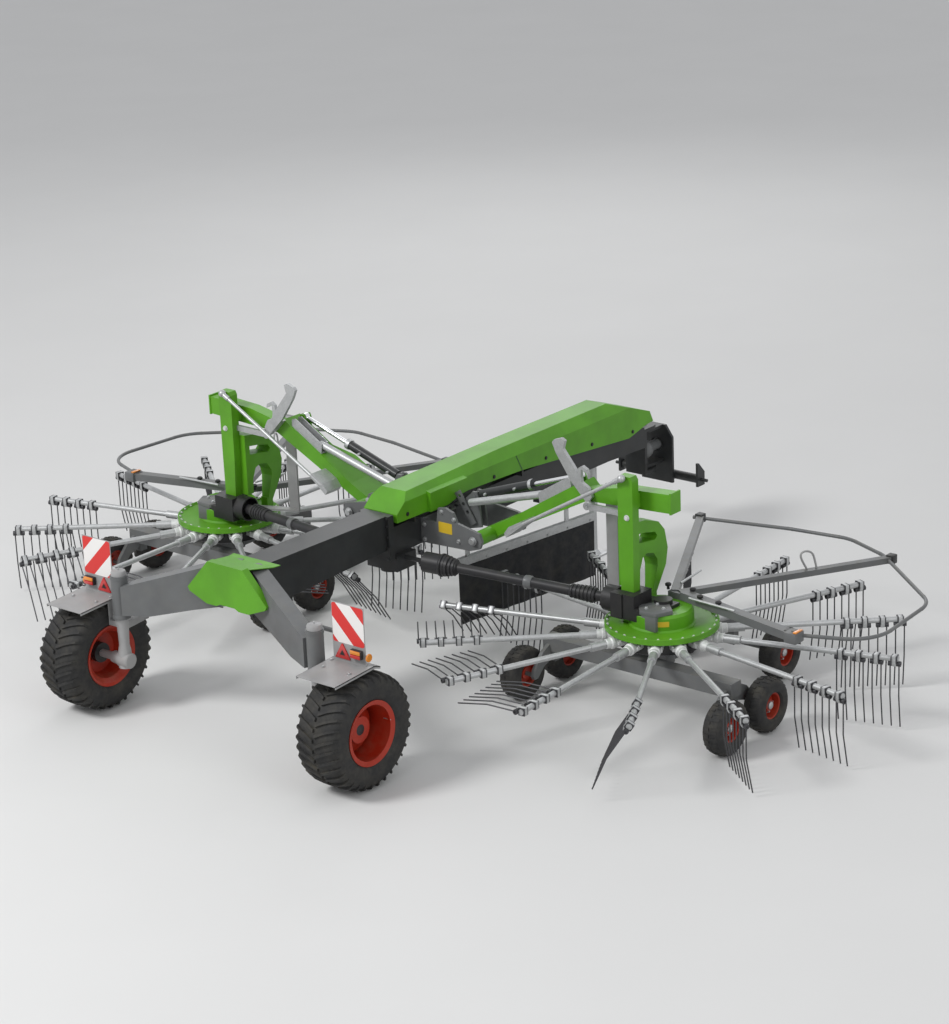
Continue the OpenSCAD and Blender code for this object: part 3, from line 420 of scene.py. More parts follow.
for side, sign in sides.items():
    body = f"road_wheel_{side}"
    centre = ahead(0, sign * roadTyre["middle"], roadTyre["radius"])
    section = tyreSection(roadTyre["flank"], roadTyre["crown"])
    section = roadTyre["innerBead"] + section + roadTyre["outerBead"]
    tyre = [turned("carcass", section, centre, (0, sign, 0), 96)]
    for out, start in ((1, 0.0), (-1, 0.5)):
        bar = treadBar(treadBars, out)
        bar.data.transform(Matrix.Translation(centre))
        tyre.append(spreadRound("bars", bar, centre, (0, 1, 0), roundAngles(treadBars["count"], start)))
    fitted(joined("carcass", tyre), f"roadTyreTread_{side}", tyreRubber, body,
           stands=[f"tyre_{side}"])
    hub = turned("hub", roadHub["cap"], centre, (0, sign, 0), 32)
    fitted(hub, f"roadHubCap_{side}", anthracite, body)
    nut = boltHead(centre + Vector((roadHub["nutRing"], -sign * roadHub["nutBack"], 0)), (0, sign, 0),
                   roadHub["nutAcross"], roadHub["nutHigh"])
    nuts = spreadRound("nuts", nut, centre, (0, 1, 0), roundAngles(roadHub["nuts"]))
    fitted(nuts, f"roadWheelNuts_{side}", galvanised, body)
    ends = [centre + Vector((x, sign * y, z)) for x, y, z in roadHub["valve"]]
    valve = rod("valve", *ends, roadHub["valveRadius"], 10, 0.0015)
    fitted(valve, f"roadTyreValve_{side}", galvanised, body)
print("road wheels made")

# Small rotor wheels: tyre and red rim in place of the plain ones, modelled with the axle along Y
rotorMiddle = (2.368, 2.176)
smallWheel = {"radius": 0.205, "crown": 0.198, "lugs": 26, "lugHigh": 0.0115,
              "flank": [(0.062, 0.098), (0.076, 0.108), (0.080, 0.125), (0.0795, 0.150), (0.074, 0.172),
                        (0.062, 0.187), (0.040, 0.195)],
              "lug": [(-0.010, 0.006, 0.193), (0.010, 0.006, 0.193), (0.016, 0.058, 0.182),
                      (-0.002, 0.058, 0.182)],
              "rim": [(-0.060, 0.099), (-0.068, 0.104), (-0.066, 0.108), (-0.058, 0.106), (-0.052, 0.088),
                      (-0.016, 0.084), (-0.010, 0.045), (-0.034, 0.042), (-0.034, 0.0165),
                      (0.034, 0.0165), (0.034, 0.042), (0.012, 0.045), (0.0, 0.084), (0.052, 0.088),
                      (0.058, 0.106), (0.066, 0.108), (0.068, 0.104), (0.060, 0.099)],
              "nuts": 5, "nutPlace": (0.062, 0.004, 0), "nutAcross": 0.02, "nutHigh": 0.016,
              "dustCap": [(0.03, 0.0), (0.03, 0.030), (0.046, 0.028), (0.052, 0.02), (0.053, 0.0)]}
wheelPlaces = {"tandem": [(1.86, 0.905), (2.36, 0.905), (1.86, -0.905), (2.36, -0.905)],
               "front": [(3.25, 0.43), (3.25, -0.43)]}  # ahead of the axle, out from the rotor's middle


def smallTyre(settings):
    section = tyreSection(settings["flank"], settings["crown"])
    rings = [turned("smallTyre", section, (0, 0, 0), (0, 1, 0), 52)]
    for out, start in ((1, 0.0), (-1, 0.5)):
        lug = plate("lug", [(x, out * y, z) for x, y, z in settings["lug"]], (0, 0, settings["lugHigh"]))
        rings.append(spreadRound("lugs", lug, (0, 0, 0), (0, 1, 0), roundAngles(settings["lugs"], start)))
    return joined("smallTyre", rings)


def smallNuts(settings):
    nut = boltHead(settings["nutPlace"], (0, 1, 0), settings["nutAcross"], settings["nutHigh"])
    nuts = spreadRound("nuts", nut, (0, 0, 0), (0, 1, 0), roundAngles(settings["nuts"]))
    return joined("nuts", [nuts, turned("dustCap", settings["dustCap"], (0, 0, 0), (0, 1, 0), 20)])


wheelParts = {"tread": (smallTyre(smallWheel), tyreRubber, "tyre_rubber"),
              "rim": (turned("smallRim", smallWheel["rim"], (0, 0, 0), (0, 1, 0), 40), rimRed, "rim_red"),
              "nuts": (smallNuts(smallWheel), galvanised, "galvanised")}
for side, sign in sides.items():
    groups = {f"tandem_{side}_{n}": (f"wheel_{side}_{n}", [place])
              for n, place in enumerate(wheelPlaces["tandem"], 1)}
    groups[f"front_pair_{side}"] = (f"front_wheels_{side}", wheelPlaces["front"])
    for body, (node, places) in groups.items():
        moves = []
        for x, out in places:
            middle = ahead(x, sign * (rotorMiddle[1] + out), smallWheel["radius"])
            facing = math.copysign(1, sign * out)
            moves.append(Matrix.Translation(middle) @ Matrix.Diagonal((1, facing, 1, 1)))
        for part, (pattern, finish, slot) in wheelParts.items():
            fitted(joined(part, [copied(pattern, move) for move in moves]), f"{node}_{part}", finish, body,
                   stands=[node] if part == "tread" else [])
for pattern, finish, slot in wheelParts.values():
    bpy.data.objects.remove(pattern)
print("rotor wheels made")

# Tine arms: cast sockets round the hub, clamps and coils at the tines
armSet = {"count": 14, "reach": 1.764, "height": 0.563, "pitch": 0.13, "perArm": 4, "clampBack": 0.029,
          "phase": {"left": -0.1, "right": -3.0}, "swath": 205, "rolledWithin": 40, "hangingFrom": 62}
socketSet = {"profile": [(0.268, 0.0), (0.268, 0.050), (0.30, 0.050), (0.312, 0.041), (0.405, 0.039),
                         (0.412, 0.044), (0.432, 0.044), (0.440, 0.037), (0.472, 0.036), (0.478, 0.030),
                         (0.478, 0.0)],
             "lip": ((0.315, -0.052, -0.014), (0.395, 0.052, 0.014)),
             "rib": ((0.300, -0.006, 0.030), (0.412, 0.006, 0.056)),
             "bolts": [(x, y, 0.014) for x in (0.335, 0.375) for y in (-0.045, 0.045)]}
clampSet = {"half": 0.015, "outline": [(-0.0295, 0.027), (0.0295, 0.027), (0.0295, -0.027),
                                       (0.020, -0.052), (-0.020, -0.052), (-0.0295, -0.027)]}
coilSet = {"turns": 4, "first": 0.0190, "pitch": 0.0078, "half": 0.0032, "inner": 0.0100, "outer": 0.0200,
           "drop": 0.0357}


def tineRoll(settings, angle):  # degrees that the tines of an arm at this angle are rolled back
    off = abs((angle - settings["swath"] + 180) % 360 - 180)
    share = (settings["hangingFrom"] - off) / (settings["hangingFrom"] - settings["rolledWithin"])
    return 90 * max(0, min(1, share))


def socketPiece(settings):  # cast clamp socket along X with its two bolted lips
    socket = turned("socket", settings["profile"], (0, 0, 0), (1, 0, 0), 24)
    lips = [box("lip", *settings["lip"], 0.004), box("rib", *settings["rib"])]
    heads = [boltHead(place, upward, 0.02, 0.012) for place in settings["bolts"]]
    return joined("socket", [socket, *lips, *heads])


def clampPiece(settings):  # bracket that grips the arm, tines pointing down; the double coil under it is made by coilPiece
    spots = [(-settings["half"], y, z) for y, z in settings["outline"]]
    return plate("strap", spots, (2 * settings["half"], 0, 0), 0.004)


def coilPiece(settings):  # the tine's windings on both sides of the bracket
    half, inner, outer = settings["half"], settings["inner"], settings["outer"]
    winding = turned("winding", [(-half, inner), (-half, outer), (half, outer), (half, inner)], (0, 0, 0),
                     (1, 0, 0), 12)
    steps = [settings["first"] + k * settings["pitch"] for k in range(settings["turns"])]
    return repeated("coil", winding, [(out * at, 0, -settings["drop"]) for at in steps for out in (-1, 1)])


patternSocket, patternClamp, patternCoil = socketPiece(socketSet), clampPiece(clampSet), coilPiece(coilSet)
for side, sign in sides.items():
    hub = Matrix.Translation(ahead(rotorMiddle[0], sign * rotorMiddle[1], armSet["height"]))
    hub = hub @ Matrix.Diagonal((1, sign, 1, 1))
    sockets, clamps, coils = [], [], []
    for k in range(armSet["count"]):
        angle = armSet["phase"][side] + k * 360 / armSet["count"]
        spoke = hub @ Matrix.Rotation(math.radians(angle), 4, "Z")
        sockets.append(copied(patternSocket, spoke))
        rolled = spoke @ Matrix.Rotation(math.radians(tineRoll(armSet, angle)), 4, "X")
        for n in range(armSet["perArm"]):
            along = armSet["reach"] - armSet["clampBack"] - n * armSet["pitch"]
            here = rolled @ Matrix.Translation((along, 0, 0))
            clamps.append(copied(patternClamp, here))
            coils.append(copied(patternCoil, here))
    body = f"rotor_{side}_body"
    fitted(joined("sockets", sockets), f"armSockets_{side}", castWhite, body)
    fitted(joined("clamps", clamps), f"tineClamps_{side}", galvanised, body)
    fitted(joined("coils", coils), f"tineCoils_{side}", springSteel, body)
for pattern in (patternSocket, patternClamp, patternCoil):
    bpy.data.objects.remove(pattern)
print("rotor arms made")

# Rotor housings: bolts round the flange, its lip, and the gap over the hub, whose shade is painted as a
# black ring
housing = {"boltRing": 0.398, "bolts": 28, "boltFoot": 0.646,
           "lip": [(0.612, 0.402), (0.612, 0.418), (0.652, 0.418), (0.655, 0.412), (0.650, 0.402)],
           "paintedGapShade": [(0.502, 0.320), (0.502, 0.333), (0.532, 0.333), (0.604, 0.314), (0.604, 0.300)]}
for side, sign in sides.items():
    body = f"boom_{side}_body"
    middle = ahead(rotorMiddle[0], sign * rotorMiddle[1], 0)
    across = housing["boltRing"]
    ring = [middle + Vector((across * math.cos(a), across * math.sin(a), housing["boltFoot"]))
            for a in roundAngles(housing["bolts"], 0.5)]
    bolts(f"flangeBolts_{side}", ring, upward, castWhite, body, 0.016, 0.009)
    lip = turned("lip", housing["lip"], middle, upward, 72)
    fitted(lip, f"housingLip_{side}", green, body)
    # painted shade: a black ring stands in the gap between housing and hub, where the dark is only shade
    paintedGapShade = turned("paintedGapShade", housing["paintedGapShade"], middle, upward, 56)
    fitted(paintedGapShade, f"hubGapPaintedShade_{side}", blackPaint, f"rotor_{side}_body")
print("housings made")

# Signs on the mudguards; their points count from the sign's middle line and the mudguard's top
signs = {"middle": 1.24, "foot": 0.875, "low": (-0.150, 0.140), "high": (0.135, 0.425), "corner": 0.018,
         "filmThick": 0.0012, "films": {"Rear": 0.0486, "Front": 0.0542}}
signParts = {"marker": [(-0.134, 0.028), (-0.131, 0.026), (0.001, 0.026), (0.004, 0.031), (-0.061, 0.136),
                        (-0.069, 0.136)],
             "markerBack": 0.0405, "markerThick": 0.0085,
             "inset": [(-0.090, 0.052), (-0.040, 0.052), (-0.065, 0.092)],
             "insetBack": 0.0398, "insetThick": 0.001,
             "case": ((0.0185, 0.0235, 0.0585), (0.0492, 0.1215, 0.1215)),
             "lenses": {"Amber": (amber, "green_paint", 0.0915), "Red": (redLens, "rim_red", 0.0620)},
             "lensBack": (0.0115, 0.0210), "lensWide": (0.028, 0.117), "lensHigh": 0.027,
             "lug": ((0.055, 0.120, 0.050), (0.060, 0.152, 0.090)),
             "disc": ((0.068, 0.146, 0.070), (0.068, 0.160, 0.070)), "discRadius": 0.030,
             "edge": ((0.047, -0.157, 0.004), (0.064, 0.142, 0.016)),
             "bolts": [(-0.10, -0.12, 0.002), (-0.10, 0.12, 0.002), (0.02, -0.15, 0.008)]}
mudguardLip = {"out": (-0.180, 0.176), "thick": 0.004,
               "line": [(-0.31, -0.030), (-0.31, -0.010), (0.09, 0.010), (0.15, -0.010), (0.15, -0.030),
                        (0.09, -0.010)]}


def onSign(sign, *places):
    return placed(sign, *((x, signs["middle"] + y, signs["foot"] + z) for x, y, z in places))


def roundedPlate(name, x, low, high, corner, thick, sign):  # upright, facing backward; low, high: (y, z)
    top, bottom = high[1] - corner, low[1] + corner
    outer, inner = high[0] - corner, low[0] + corner
    spots = []
    for y, z, start in ((outer, top, 0), (inner, top, 90), (inner, bottom, 180), (outer, bottom, 270)):
        for a in (math.radians(start + step * 30) for step in range(4)):
            spots.append(ahead(x, sign * (y + corner * math.cos(a)), z + corner * math.sin(a)))
    return plate(name, spots, (thick, 0, 0))


for side, sign in sides.items():
    body = f"knuckle_{side}_body"
    low, high = ((signs["middle"] + y, signs["foot"] + z) for y, z in (signs["low"], signs["high"]))
    for name, x in signs["films"].items():
        film = roundedPlate("film", x, low, high, signs["corner"], signs["filmThick"], sign)
        fitted(film, f"signFilm{name}_{side}", signPaint, body)
    spots = onSign(sign, *((signParts["markerBack"], y, z) for y, z in signParts["marker"]))
    marker = plate("marker", spots, (signParts["markerThick"], 0, 0), 0.002)
    fitted(marker, f"signReflector_{side}", redLens, body)
    spots = onSign(sign, *((signParts["insetBack"], y, z) for y, z in signParts["inset"]))
    inset = plate("inset", spots, (signParts["insetThick"], 0, 0))
    fitted(inset, f"signReflectorInset_{side}", blackPaint, body)
    case = box("case", *onSign(sign, *signParts["case"]), 0.005)
    fitted(case, f"signLampCase_{side}", plastic, body)
    (back, front), (inner, outer) = signParts["lensBack"], signParts["lensWide"]
    for name, (finish, slot, foot) in signParts["lenses"].items():
        ends = (back, inner, foot), (front, outer, foot + signParts["lensHigh"])
        fitted(box("lens", *onSign(sign, *ends), 0.004), f"signLamp{name}_{side}", finish, body)
    lug = box("lug", *onSign(sign, *signParts["lug"]), 0.001, 1)
    fitted(lug, f"sideMarkerLug_{side}", galvanised, body)
    disc = rod("disc", *onSign(sign, *signParts["disc"]), signParts["discRadius"], 28, 0.004)
    fitted(disc, f"sideMarker_{side}", amber, body)
    lip = plate("lip", [(x, 0, z) for x, z in mudguardLip["line"]], (0, sign * mudguardLip["thick"], 0))
    lips = repeated("lips", lip, onSign(sign, *((0, out, 0) for out in mudguardLip["out"])))
    fitted(lips, f"mudguardLips_{side}", paleGrey, body)
    edge = box("edge", *onSign(sign, *signParts["edge"]), 0.002)
    fitted(edge, f"signFoot_{side}", paleGrey, body)
    bolts(f"signBolts_{side}", onSign(sign, *signParts["bolts"]), upward, galvanised, body,
          0.02, 0.010)
print("signs made")

# Knuckles: cap, tapered sleeve and hub end in pale paint, collars on the axle beam's tube
knuckle = {"out": 0.964, "hub": 0.425, "nipple": (1.126, 1.142),
           "cap": [(1.0865, 0.030), (1.0865, 0.056), (1.112, 0.056), (1.122, 0.050), (1.128, 0.036),
                   (1.128, 0.0), (1.0865, 0.0)],
           "leg": [(0.37, 0.030), (0.37, 0.052), (0.50, 0.048), (0.545, 0.0385), (0.700, 0.0445),
                   (0.735, 0.052), (0.752, 0.052), (0.752, 0.030)],
           "end": [(-0.062, 0.0), (-0.062, 0.050), (-0.055, 0.058), (0.040, 0.060), (0.062, 0.050),
                   (0.115, 0.046), (0.115, 0.0)],
           "collars": [[(0.758, 0.050), (0.758, 0.067), (0.776, 0.069), (0.790, 0.064), (0.790, 0.050)],
                       [(1.060, 0.050), (1.060, 0.065), (1.0848, 0.067), (1.0848, 0.050)]]}
for side, sign in sides.items():
    body = f"knuckle_{side}_body"
    foot = ahead(0, sign * knuckle["out"], 0)
    cap = turned("cap", knuckle["cap"], foot, upward, 36)
    fitted(cap, f"kingpinCap_{side}", paleGrey, body)
    leg = turned("leg", knuckle["leg"], foot, upward, 36)
    fitted(leg, f"knuckleLeg_{side}", paleGrey, body)
    end = turned("end", knuckle["end"], foot + Vector((0, 0, knuckle["hub"])), (0, sign, 0), 32)
    fitted(end, f"knuckleHub_{side}", paleGrey, body)
    nipple = rod("nipple", *(foot + Vector((0, 0, z)) for z in knuckle["nipple"]), 0.006, 10, 0.002)
    fitted(nipple, f"greaseNipple_{side}", galvanised, body)
    collars = [turned("collar", profile, foot, upward, 40) for profile in knuckle["collars"]]
    fitted(joined("collar", collars), f"kingpinCollars_{side}", midGrey, "frame")
print("knuckles made")

# Curtain: one cloth with soft folds that open toward its lower edge
curtain = {"back": (2.368, -0.259), "front": (3.818, -0.459), "top": 0.6925, "drop": 0.5, "folds": 7,
           "deep": 0.012, "clampLow": 0.659, "clampLong": 1.4637, "clampHigh": 0.034, "clampHalf": 0.004,
           "boltHeight": 0.676, "boltShares": (0.03, 0.2, 0.35, 0.5, 0.65, 0.8, 0.97)}
curtainRun = ahead(*curtain["front"], 0) - ahead(*curtain["back"], 0)
curtainSide = curtainRun.normalized().cross(Vector(upward))


def curtainCloth(settings):
    letGo()
    bpy.ops.mesh.primitive_grid_add(x_subdivisions=140, y_subdivisions=24, size=1)
    sheet = bpy.context.object
    for vertex in sheet.data.vertices:
        along, down = vertex.co.x + 0.5, 0.5 - vertex.co.y
        wave = math.sin(along * settings["folds"] * 2 * math.pi + 0.6 * math.sin(along * 17))
        wave += 0.5 * math.sin(along * 41 + down * 2)
        swell = settings["deep"] * down ** 1.3 * wave * 0.6
        height = settings["top"] - settings["drop"] * (down - 0.004 * down * wave)
        vertex.co = ahead(*settings["back"], height) + curtainRun * along + curtainSide * swell
    return sheet


hanging = fitted(curtainCloth(curtain), "curtainCloth", cloth, "frame", stands=["curtain"],
                 smooth=60)
clamp = box("clamp", (0, -curtain["clampHalf"], 0),
            (curtain["clampLong"], curtain["clampHalf"], curtain["clampHigh"]), 0.0015, 1)
turn = Matrix.Rotation(math.atan2(curtainRun.y, curtainRun.x), 4, "Z")
clamp.data.transform(Matrix.Translation(ahead(*curtain["back"], curtain["clampLow"])) @ turn)
fitted(clamp, "curtainClamp", galvanised, "frame")
start = ahead(*curtain["back"], curtain["boltHeight"]) + curtainSide * curtain["clampHalf"]
bolts("curtainBolts", [start + curtainRun * share for share in curtain["boltShares"]], curtainSide,
      galvanised, "frame", 0.018, 0.009)
print("curtain made")

# Drive shafts: ribbed guards at both ends and a bright collar; distances run along the shaft
shaft = {"inner": (1.890, 0.330, 0.875), "outer": (2.230, 1.880, 0.790),
         "collar": [(0.845, 0.034), (0.845, 0.047), (0.86, 0.049), (0.895, 0.049), (0.905, 0.044),
                    (0.905, 0.034)]}
innerBoot = {"start": [(0.150, 0.0), (0.150, 0.084)], "end": [(0.292, 0.045), (0.300, 0.0)], "ribs": 5,
             "first": 0.156, "pitch": 0.026, "steps": (0, 0.013, 0.017, 0.023), "crest": 0.088,
             "valley": 0.078, "grow": -0.006}
outerBoot = {"start": [(-0.370, 0.0), (-0.370, 0.046)], "end": [(-0.166, 0.052), (-0.166, 0.0)], "ribs": 6,
             "first": -0.362, "pitch": 0.032, "steps": (0, 0.014, 0.018, 0.028), "crest": 0.053,
             "valley": 0.046, "grow": 0.002}  # counted back from the shaft's outer end


def bootProfile(settings, zero):
    ribs = []
    for k in range(settings["ribs"]):
        at, grown = settings["first"] + k * settings["pitch"], k * settings["grow"]
        crest, valley = settings["crest"] + grown, settings["valley"] + grown
        radii = (crest, crest, valley, valley)
        ribs += [(at + step, radius) for step, radius in zip(settings["steps"], radii)]
    return [(zero + at, radius) for at, radius in settings["start"] + ribs + settings["end"]]


for side, sign in sides.items():
    body = f"drive_shaft_{side}_body"
    start, end = placed(sign, shaft["inner"], shaft["outer"])
    run = end - start
    boots = [turned("boot", bootProfile(boot, zero), start, run, 36)
             for boot, zero in ((innerBoot, 0.0), (outerBoot, run.length))]
    fitted(joined("boots", boots), f"shaftBoots_{side}", plastic, body)
    collar = turned("collar", shaft["collar"], start, run, 36)
    fitted(collar, f"shaftCollar_{side}", midGrey, body)
print("drive shafts made")

# Rotor tops: seam plate over the gearbox, bare yellow plates, foot and link bolts, stay beside the post
topPlate = {"low": 0.7603, "high": 0.793,
            "outline": [(2.219, 2.078), (2.334, 2.144), (2.402, 2.209), (2.26, 2.355), (2.134, 2.292),
                        (2.127, 2.155)],
            "skirt": ((2.134, 2.165, 0.648), (2.190, 2.291, 0.775)),
            "bolts": [(2.30, 2.19), (2.25, 2.28), (2.19, 2.17), (2.345, 2.215)]}
label = {"outer": 0.2372, "inner": 0.2345, "angle": 218, "spread": 11, "low": 0.682, "high": 0.722}
postBolts = [(2.215, 1.975, 0.690), (2.215, 2.015, 0.690), (2.215, 1.995, 1.440)]
armStay = {"upright": ((2.544, 1.555, 0.722), (2.562, 1.660, 1.530)),
           "bracket": ((2.456, 1.575, 1.465), (2.550, 1.640, 1.525)),
           "foot": [(2.562, 1.56), (2.562, 1.66), (2.44, 1.957), (2.33, 1.957), (2.544, 1.56)],
           "footLow": 0.722, "footThick": 0.016}
for side, sign in sides.items():
    body = f"boom_{side}_body"
    middle = ahead(rotorMiddle[0], sign * rotorMiddle[1], 0)
    low, high = topPlate["low"], topPlate["high"]
    spots = placed(sign, *((x, y, low) for x, y in topPlate["outline"]))
    cover = plate("cover", spots, (0, 0, high - low), 0.004)
    skirt = box("skirt", *placed(sign, *topPlate["skirt"]), 0.004)
    fitted(joined("cover", [cover, skirt]), f"gearboxCover_{side}", midGrey, body)
    bolts(f"gearboxCoverBolts_{side}", placed(sign, *((x, y, high) for x, y in topPlate["bolts"])), upward,
          galvanised, body, 0.024, 0.013)
    spots = []
    for radius, shares in ((label["outer"], (-1, -0.5, 0, 0.5, 1)), (label["inner"], (1, 0.5, 0, -0.5, -1))):
        for a in (math.radians(label["angle"] + share * label["spread"]) for share in shares):
            spots.append(middle + Vector((radius * math.cos(a), radius * math.sin(a), label["low"])))
    sticker = plate("sticker", spots, (0, 0, label["high"] - label["low"]))
    fitted(sticker, f"domePlate_{side}", yellow, body)
    bolts(f"postBolts_{side}", placed(sign, *postBolts), backward, castWhite, body,
          0.034, 0.016)
    foot = placed(sign, *((x, y, armStay["footLow"]) for x, y in armStay["foot"]))
    stay = [box("upright", *placed(sign, *armStay["upright"])),
            box("bracket", *placed(sign, *armStay["bracket"])),
            plate("foot", foot, (0, 0, armStay["footThick"]))]
    fitted(joined("stay", stay), f"armStay_{side}", paleGrey, body)
print("rotor tops made")

# Boom brackets: bare yellow plate, bolts, pivot nut and valve block
bracket = {"tagBack": 2.1382, "tagLow": (0.277, 1.025), "tagHigh": (0.408, 1.110), "tagCorner": 0.006,
           "tagThick": 0.0016, "pivot": (2.125, 0.62, 1.02),
           "bolts": [(2.140, 0.135, 0.94), (2.140, 0.135, 1.06), (2.140, 0.47, 0.985), (2.140, 0.43, 1.15),
                     (2.140, 0.31, 1.19)]}
valveBlock = {"block": ((2.20, 0.215, 1.10), (2.33, 0.295, 1.16)), "ports": (2.225, 2.265, 2.305),
              "portOut": 0.255, "portLow": 1.158, "portHigh": 0.027, "portRadius": 0.011}
for side, sign in sides.items():
    tag = roundedPlate("tag", bracket["tagBack"], bracket["tagLow"], bracket["tagHigh"],
                       bracket["tagCorner"], bracket["tagThick"], sign)
    fitted(tag, f"bracketPlate_{side}", yellow, "frame")
    bolts(f"bracketBolts_{side}", placed(sign, *bracket["bolts"]), backward, galvanised, "frame",
          0.028, 0.014)
    bolts(f"pivotNuts_{side}", placed(sign, bracket["pivot"]), backward, galvanised, "frame",
          0.052, 0.024)
    block = box("valve", *placed(sign, *valveBlock["block"]), 0.004)
    port = rod("port", (0, 0, 0), (0, 0, valveBlock["portHigh"]), valveBlock["portRadius"], 6, 0.002)
    feet = placed(sign, *((x, valveBlock["portOut"], valveBlock["portLow"]) for x in valveBlock["ports"]))
    fitted(joined("valve", [block, repeated("ports", port, feet)]), f"valveBlock_{side}", blackPaint,
           "frame")
print("boom brackets dressed")

# Guards: end box with its reflector, clamps, knobs and the handle on the long beam
guard = {"corner": (2.390, 3.300, 0.760), "endBox": ((-0.055, -0.05, -0.04), (0.055, 0.05, 0.038)),
         "endCap": ((0, 0, -0.055), (0, 0, 0.047)), "endCapRadius": 0.018,
         "lamp": ((-0.045, -0.048, 0.0385), (0.045, -0.020, 0.050)),
         "clamps": [(4.110, 3.035, 0.760), (4.095, 1.300, 0.760), (2.405, 3.255, 0.760)],
         "clampBox": ((-0.032, -0.032, -0.034), (0.032, 0.032, 0.036)),
         "knobs": [(2.505, 2.42, 0.800), (2.478, 2.60, 0.800), (2.600, 2.29, 0.800), (2.585, 2.08, 0.800)],
         "knob": [(0.0, 0.0), (0.0, 0.012), (0.022, 0.010), (0.028, 0.022), (0.042, 0.024), (0.050, 0.014),
                  (0.051, 0.0)],
         "pins": [((2.45, 2.36, 0.83), (2.42, 2.78, 0.83)), ((2.66, 2.14, 0.835), (2.97, 2.10, 0.832))],
         "pinRadius": 0.009,
         "handle": [(3.50, 2.69, 0.785), (3.46, 2.67, 0.86), (3.44, 2.66, 0.925), (3.48, 2.68, 0.945),
                    (3.53, 2.71, 0.925), (3.55, 2.72, 0.86), (3.56, 2.73, 0.785)], "handleRadius": 0.008}


def bentRod(name, points, radius, steps=6):  # a rod through points, rounded between them, as a mesh
    letGo()
    line = bpy.data.curves.new(name, "CURVE")
    line.dimensions, line.bevel_depth, line.bevel_resolution, line.use_fill_caps = "3D", radius, 3, True
    line.resolution_u = steps
    spline = line.splines.new("NURBS")
    spline.points.add(len(points) - 1)
    for point, place in zip(spline.points, points):
        point.co = (*place, 1)
    spline.use_endpoint_u, spline.order_u = True, 3
    piece = bpy.data.objects.new(name, line)
    bpy.context.scene.collection.objects.link(piece)
    takeUp(piece)
    bpy.ops.object.convert(target="MESH")
    return bpy.context.object


for side, sign in sides.items():
    body = f"boom_{side}_body"
    corner = placed(sign, guard["corner"])
    end = joined("end", [box("end", *guard["endBox"], 0.005),
                         rod("cap", *guard["endCap"], guard["endCapRadius"], 18, 0.003)])
    fitted(repeated("end", end, corner), f"guardEnd_{side}", midGrey, body)
    lamp = repeated("lamp", box("lamp", *guard["lamp"], 0.004), corner)
    fitted(lamp, f"guardReflector_{side}", amber, body)
    clamps = repeated("clamps", box("clamp", *guard["clampBox"], 0.005), placed(sign, *guard["clamps"]))
    fitted(clamps, f"guardClamps_{side}", anthracite, body)
    knob = turned("knob", guard["knob"], (0, 0, 0), upward, 18)
    knobs = repeated("knobs", knob, placed(sign, *guard["knobs"]))
    fitted(knobs, f"guardKnobs_{side}", plastic, body)
    pins = [rod("pin", *placed(sign, *ends), guard["pinRadius"], 12, 0.002) for ends in guard["pins"]]
    fitted(joined("pins", pins), f"guardPins_{side}", galvanised, body)
    handle = bentRod("handle", placed(sign, *guard["handle"]), guard["handleRadius"])
    fitted(handle, f"guardHandle_{side}", paleGrey, body, smooth=60)
print("guards dressed")

# Hood joints and screws, bolts on the beam's flange
hoodSide = {"out": 0.165, "jointTop": (3.222, 1.309), "jointFoot": (3.292, 1.176), "jointWide": 0.010,
            "jointProud": 0.0016,
            "screws": [(1.92, 1.21), (2.95, 1.215), (3.60, 1.19), (4.20, 1.14), (4.75, 1.10)]}
beamFlange = {"back": 1.7195, "out": 0.133, "heights": (0.905, 0.99, 1.075, 1.16, 1.222)}
for side, sign in sides.items():
    (topX, topZ), (footX, footZ) = hoodSide["jointTop"], hoodSide["jointFoot"]
    line = [(topX, topZ), (topX + hoodSide["jointWide"], topZ), (footX + hoodSide["jointWide"], footZ),
            (footX, footZ)]
    strip = plate("strip", placed(sign, *((x, hoodSide["out"], z) for x, z in line)),
                  (0, sign * hoodSide["jointProud"], 0))
    fitted(strip, f"hoodJoint_{side}", darkGreen, "frame")
    screws = placed(sign, *((x, hoodSide["out"], z) for x, z in hoodSide["screws"]))
    bolts(f"hoodScrews_{side}", screws, (0, sign, 0), blackPaint, "frame", 0.024, 0.008)
    edge = placed(sign, *((beamFlange["back"], beamFlange["out"], z) for z in beamFlange["heights"]))
    bolts(f"flangeFaceBolts_{side}", edge, backward, anthracite, "frame", 0.018, 0.012)
print("hood dressed")

# Lift cylinders: gland ring and oil ports, which stand backward from the barrel's wall
cylinder = {"foot": (2.490, 0.380, 1.238), "eye": (2.490, 1.370, 1.572), "ports": (0.115, 0.420),
            "wall": 0.028, "portLong": 0.030, "portRadius": 0.012,
            "gland": [(0.548, 0.030), (0.548, 0.0420), (0.552, 0.0426), (0.574, 0.0426), (0.578, 0.0420),
                      (0.578, 0.030)]}
for side, sign in sides.items():
    foot, eye = placed(sign, cylinder["foot"], cylinder["eye"])
    run = (eye - foot).normalized()
    gland = turned("gland", cylinder["gland"], foot, run, 32)
    port = rod("port", (0, 0, 0), Vector(backward) * cylinder["portLong"], cylinder["portRadius"], 6, 0.002)
    wall = foot + Vector(backward) * cylinder["wall"]
    ports = repeated("ports", port, [wall + run * at for at in cylinder["ports"]])
    fitted(joined("gland", [gland, ports]), f"cylinderGland_{side}", galvanised,
           f"lift_barrel_{side}_body")
print("cylinders dressed")

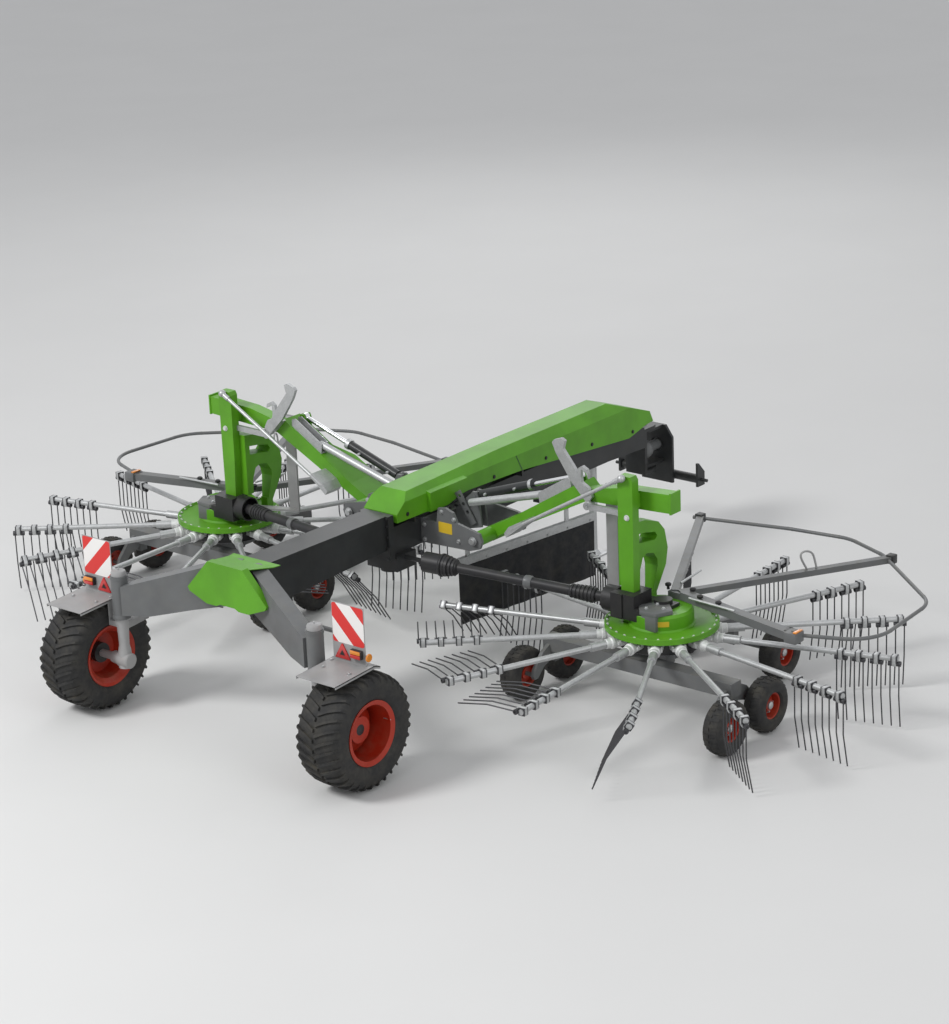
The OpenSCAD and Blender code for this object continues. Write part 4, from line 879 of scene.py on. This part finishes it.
# Camera, floor and light
photoCamera = {"place": (axleX - 13.459, -13.813, 8.278), "yaw": 40.19, "pitch": 18.99, "roll": -2.35,
               "lens": 102.0}
lights = {"Key light": {"place": (-13, 5, 13), "size": 5.0, "power": 1750},
          "Fill light": {"place": (-4, -16, 9), "size": 9.0, "power": 420},
          "Back light": {"place": (12, 8, 9), "size": 9.0, "power": 260}}
studio = {"air": (0.96, 0.97, 1.0, 1), "onPieces": 0.55, "seen": 0.92, "floor": 120, "floorLow": -0.0005,
          "floorDeep": (0.70, 0.70, 0.69), "floorPale": (0.74, 0.74, 0.73)}


def addCamera(settings):
    yaw, pitch, roll = (math.radians(settings[k]) for k in ("yaw", "pitch", "roll"))
    onward = Vector((math.cos(yaw) * math.cos(pitch), math.sin(yaw) * math.cos(pitch), -math.sin(pitch)))
    right = Vector((math.sin(yaw), -math.cos(yaw), 0))
    up = right.cross(onward)
    axes = Matrix((math.cos(roll) * right + math.sin(roll) * up,
                   math.cos(roll) * up - math.sin(roll) * right, -onward)).transposed()
    camera = bpy.data.objects.new("Camera", bpy.data.cameras.new("Camera"))
    camera.data.lens, camera.data.sensor_width, camera.data.clip_end = settings["lens"], 36, 200
    camera.matrix_world = Matrix.Translation(settings["place"]) @ axes.to_4x4()
    bpy.context.scene.collection.objects.link(camera)
    bpy.context.scene.camera = camera


def addLight(name, settings):
    lamp = bpy.data.objects.new(name, bpy.data.lights.new(name, "AREA"))
    lamp.data.shape, lamp.data.size, lamp.data.energy = "DISK", settings["size"], settings["power"]
    lamp.location = settings["place"]
    lamp.rotation_euler = (-Vector(settings["place"])).to_track_quat("-Z", "Y").to_euler()
    bpy.context.scene.collection.objects.link(lamp)


def addWorld(settings):  # the air is brighter where the camera or a reflection sees it
    world = bpy.data.worlds.new("Studio")
    bpy.context.scene.world = world
    world.use_nodes = True
    tree = world.node_tree
    ray = tree.nodes.new("ShaderNodeLightPath")
    seen = tree.nodes.new("ShaderNodeMath")
    seen.operation = "MAXIMUM"
    tree.links.new(ray.outputs["Is Camera Ray"], seen.inputs[0])
    tree.links.new(ray.outputs["Is Glossy Ray"], seen.inputs[1])
    strength = tree.nodes.new("ShaderNodeMapRange")
    strength.inputs["To Min"].default_value = settings["onPieces"]
    strength.inputs["To Max"].default_value = settings["seen"]
    tree.links.new(seen.outputs[0], strength.inputs["Value"])
    background = tree.nodes["Background"]
    background.inputs["Color"].default_value = settings["air"]
    tree.links.new(strength.outputs[0], background.inputs["Strength"])


def addFloor(settings):
    bpy.ops.mesh.primitive_plane_add(size=settings["floor"], location=(0, 0, settings["floorLow"]))
    floor = bpy.context.object
    floor.name = "Floor"
    finish = Finish("Studio floor")
    shown = finish.mix(finish.noise(0.6), settings["floorDeep"], settings["floorPale"])
    floor.data.materials.append(finish.set(Base_Color=shown, Roughness=0.85))


addCamera(photoCamera)
for name, settings in lights.items():
    addLight(name, settings)
addWorld(studio)
addFloor(studio)
bpy.context.scene.view_settings.view_transform = "Standard"
print("camera, floor and lights set")
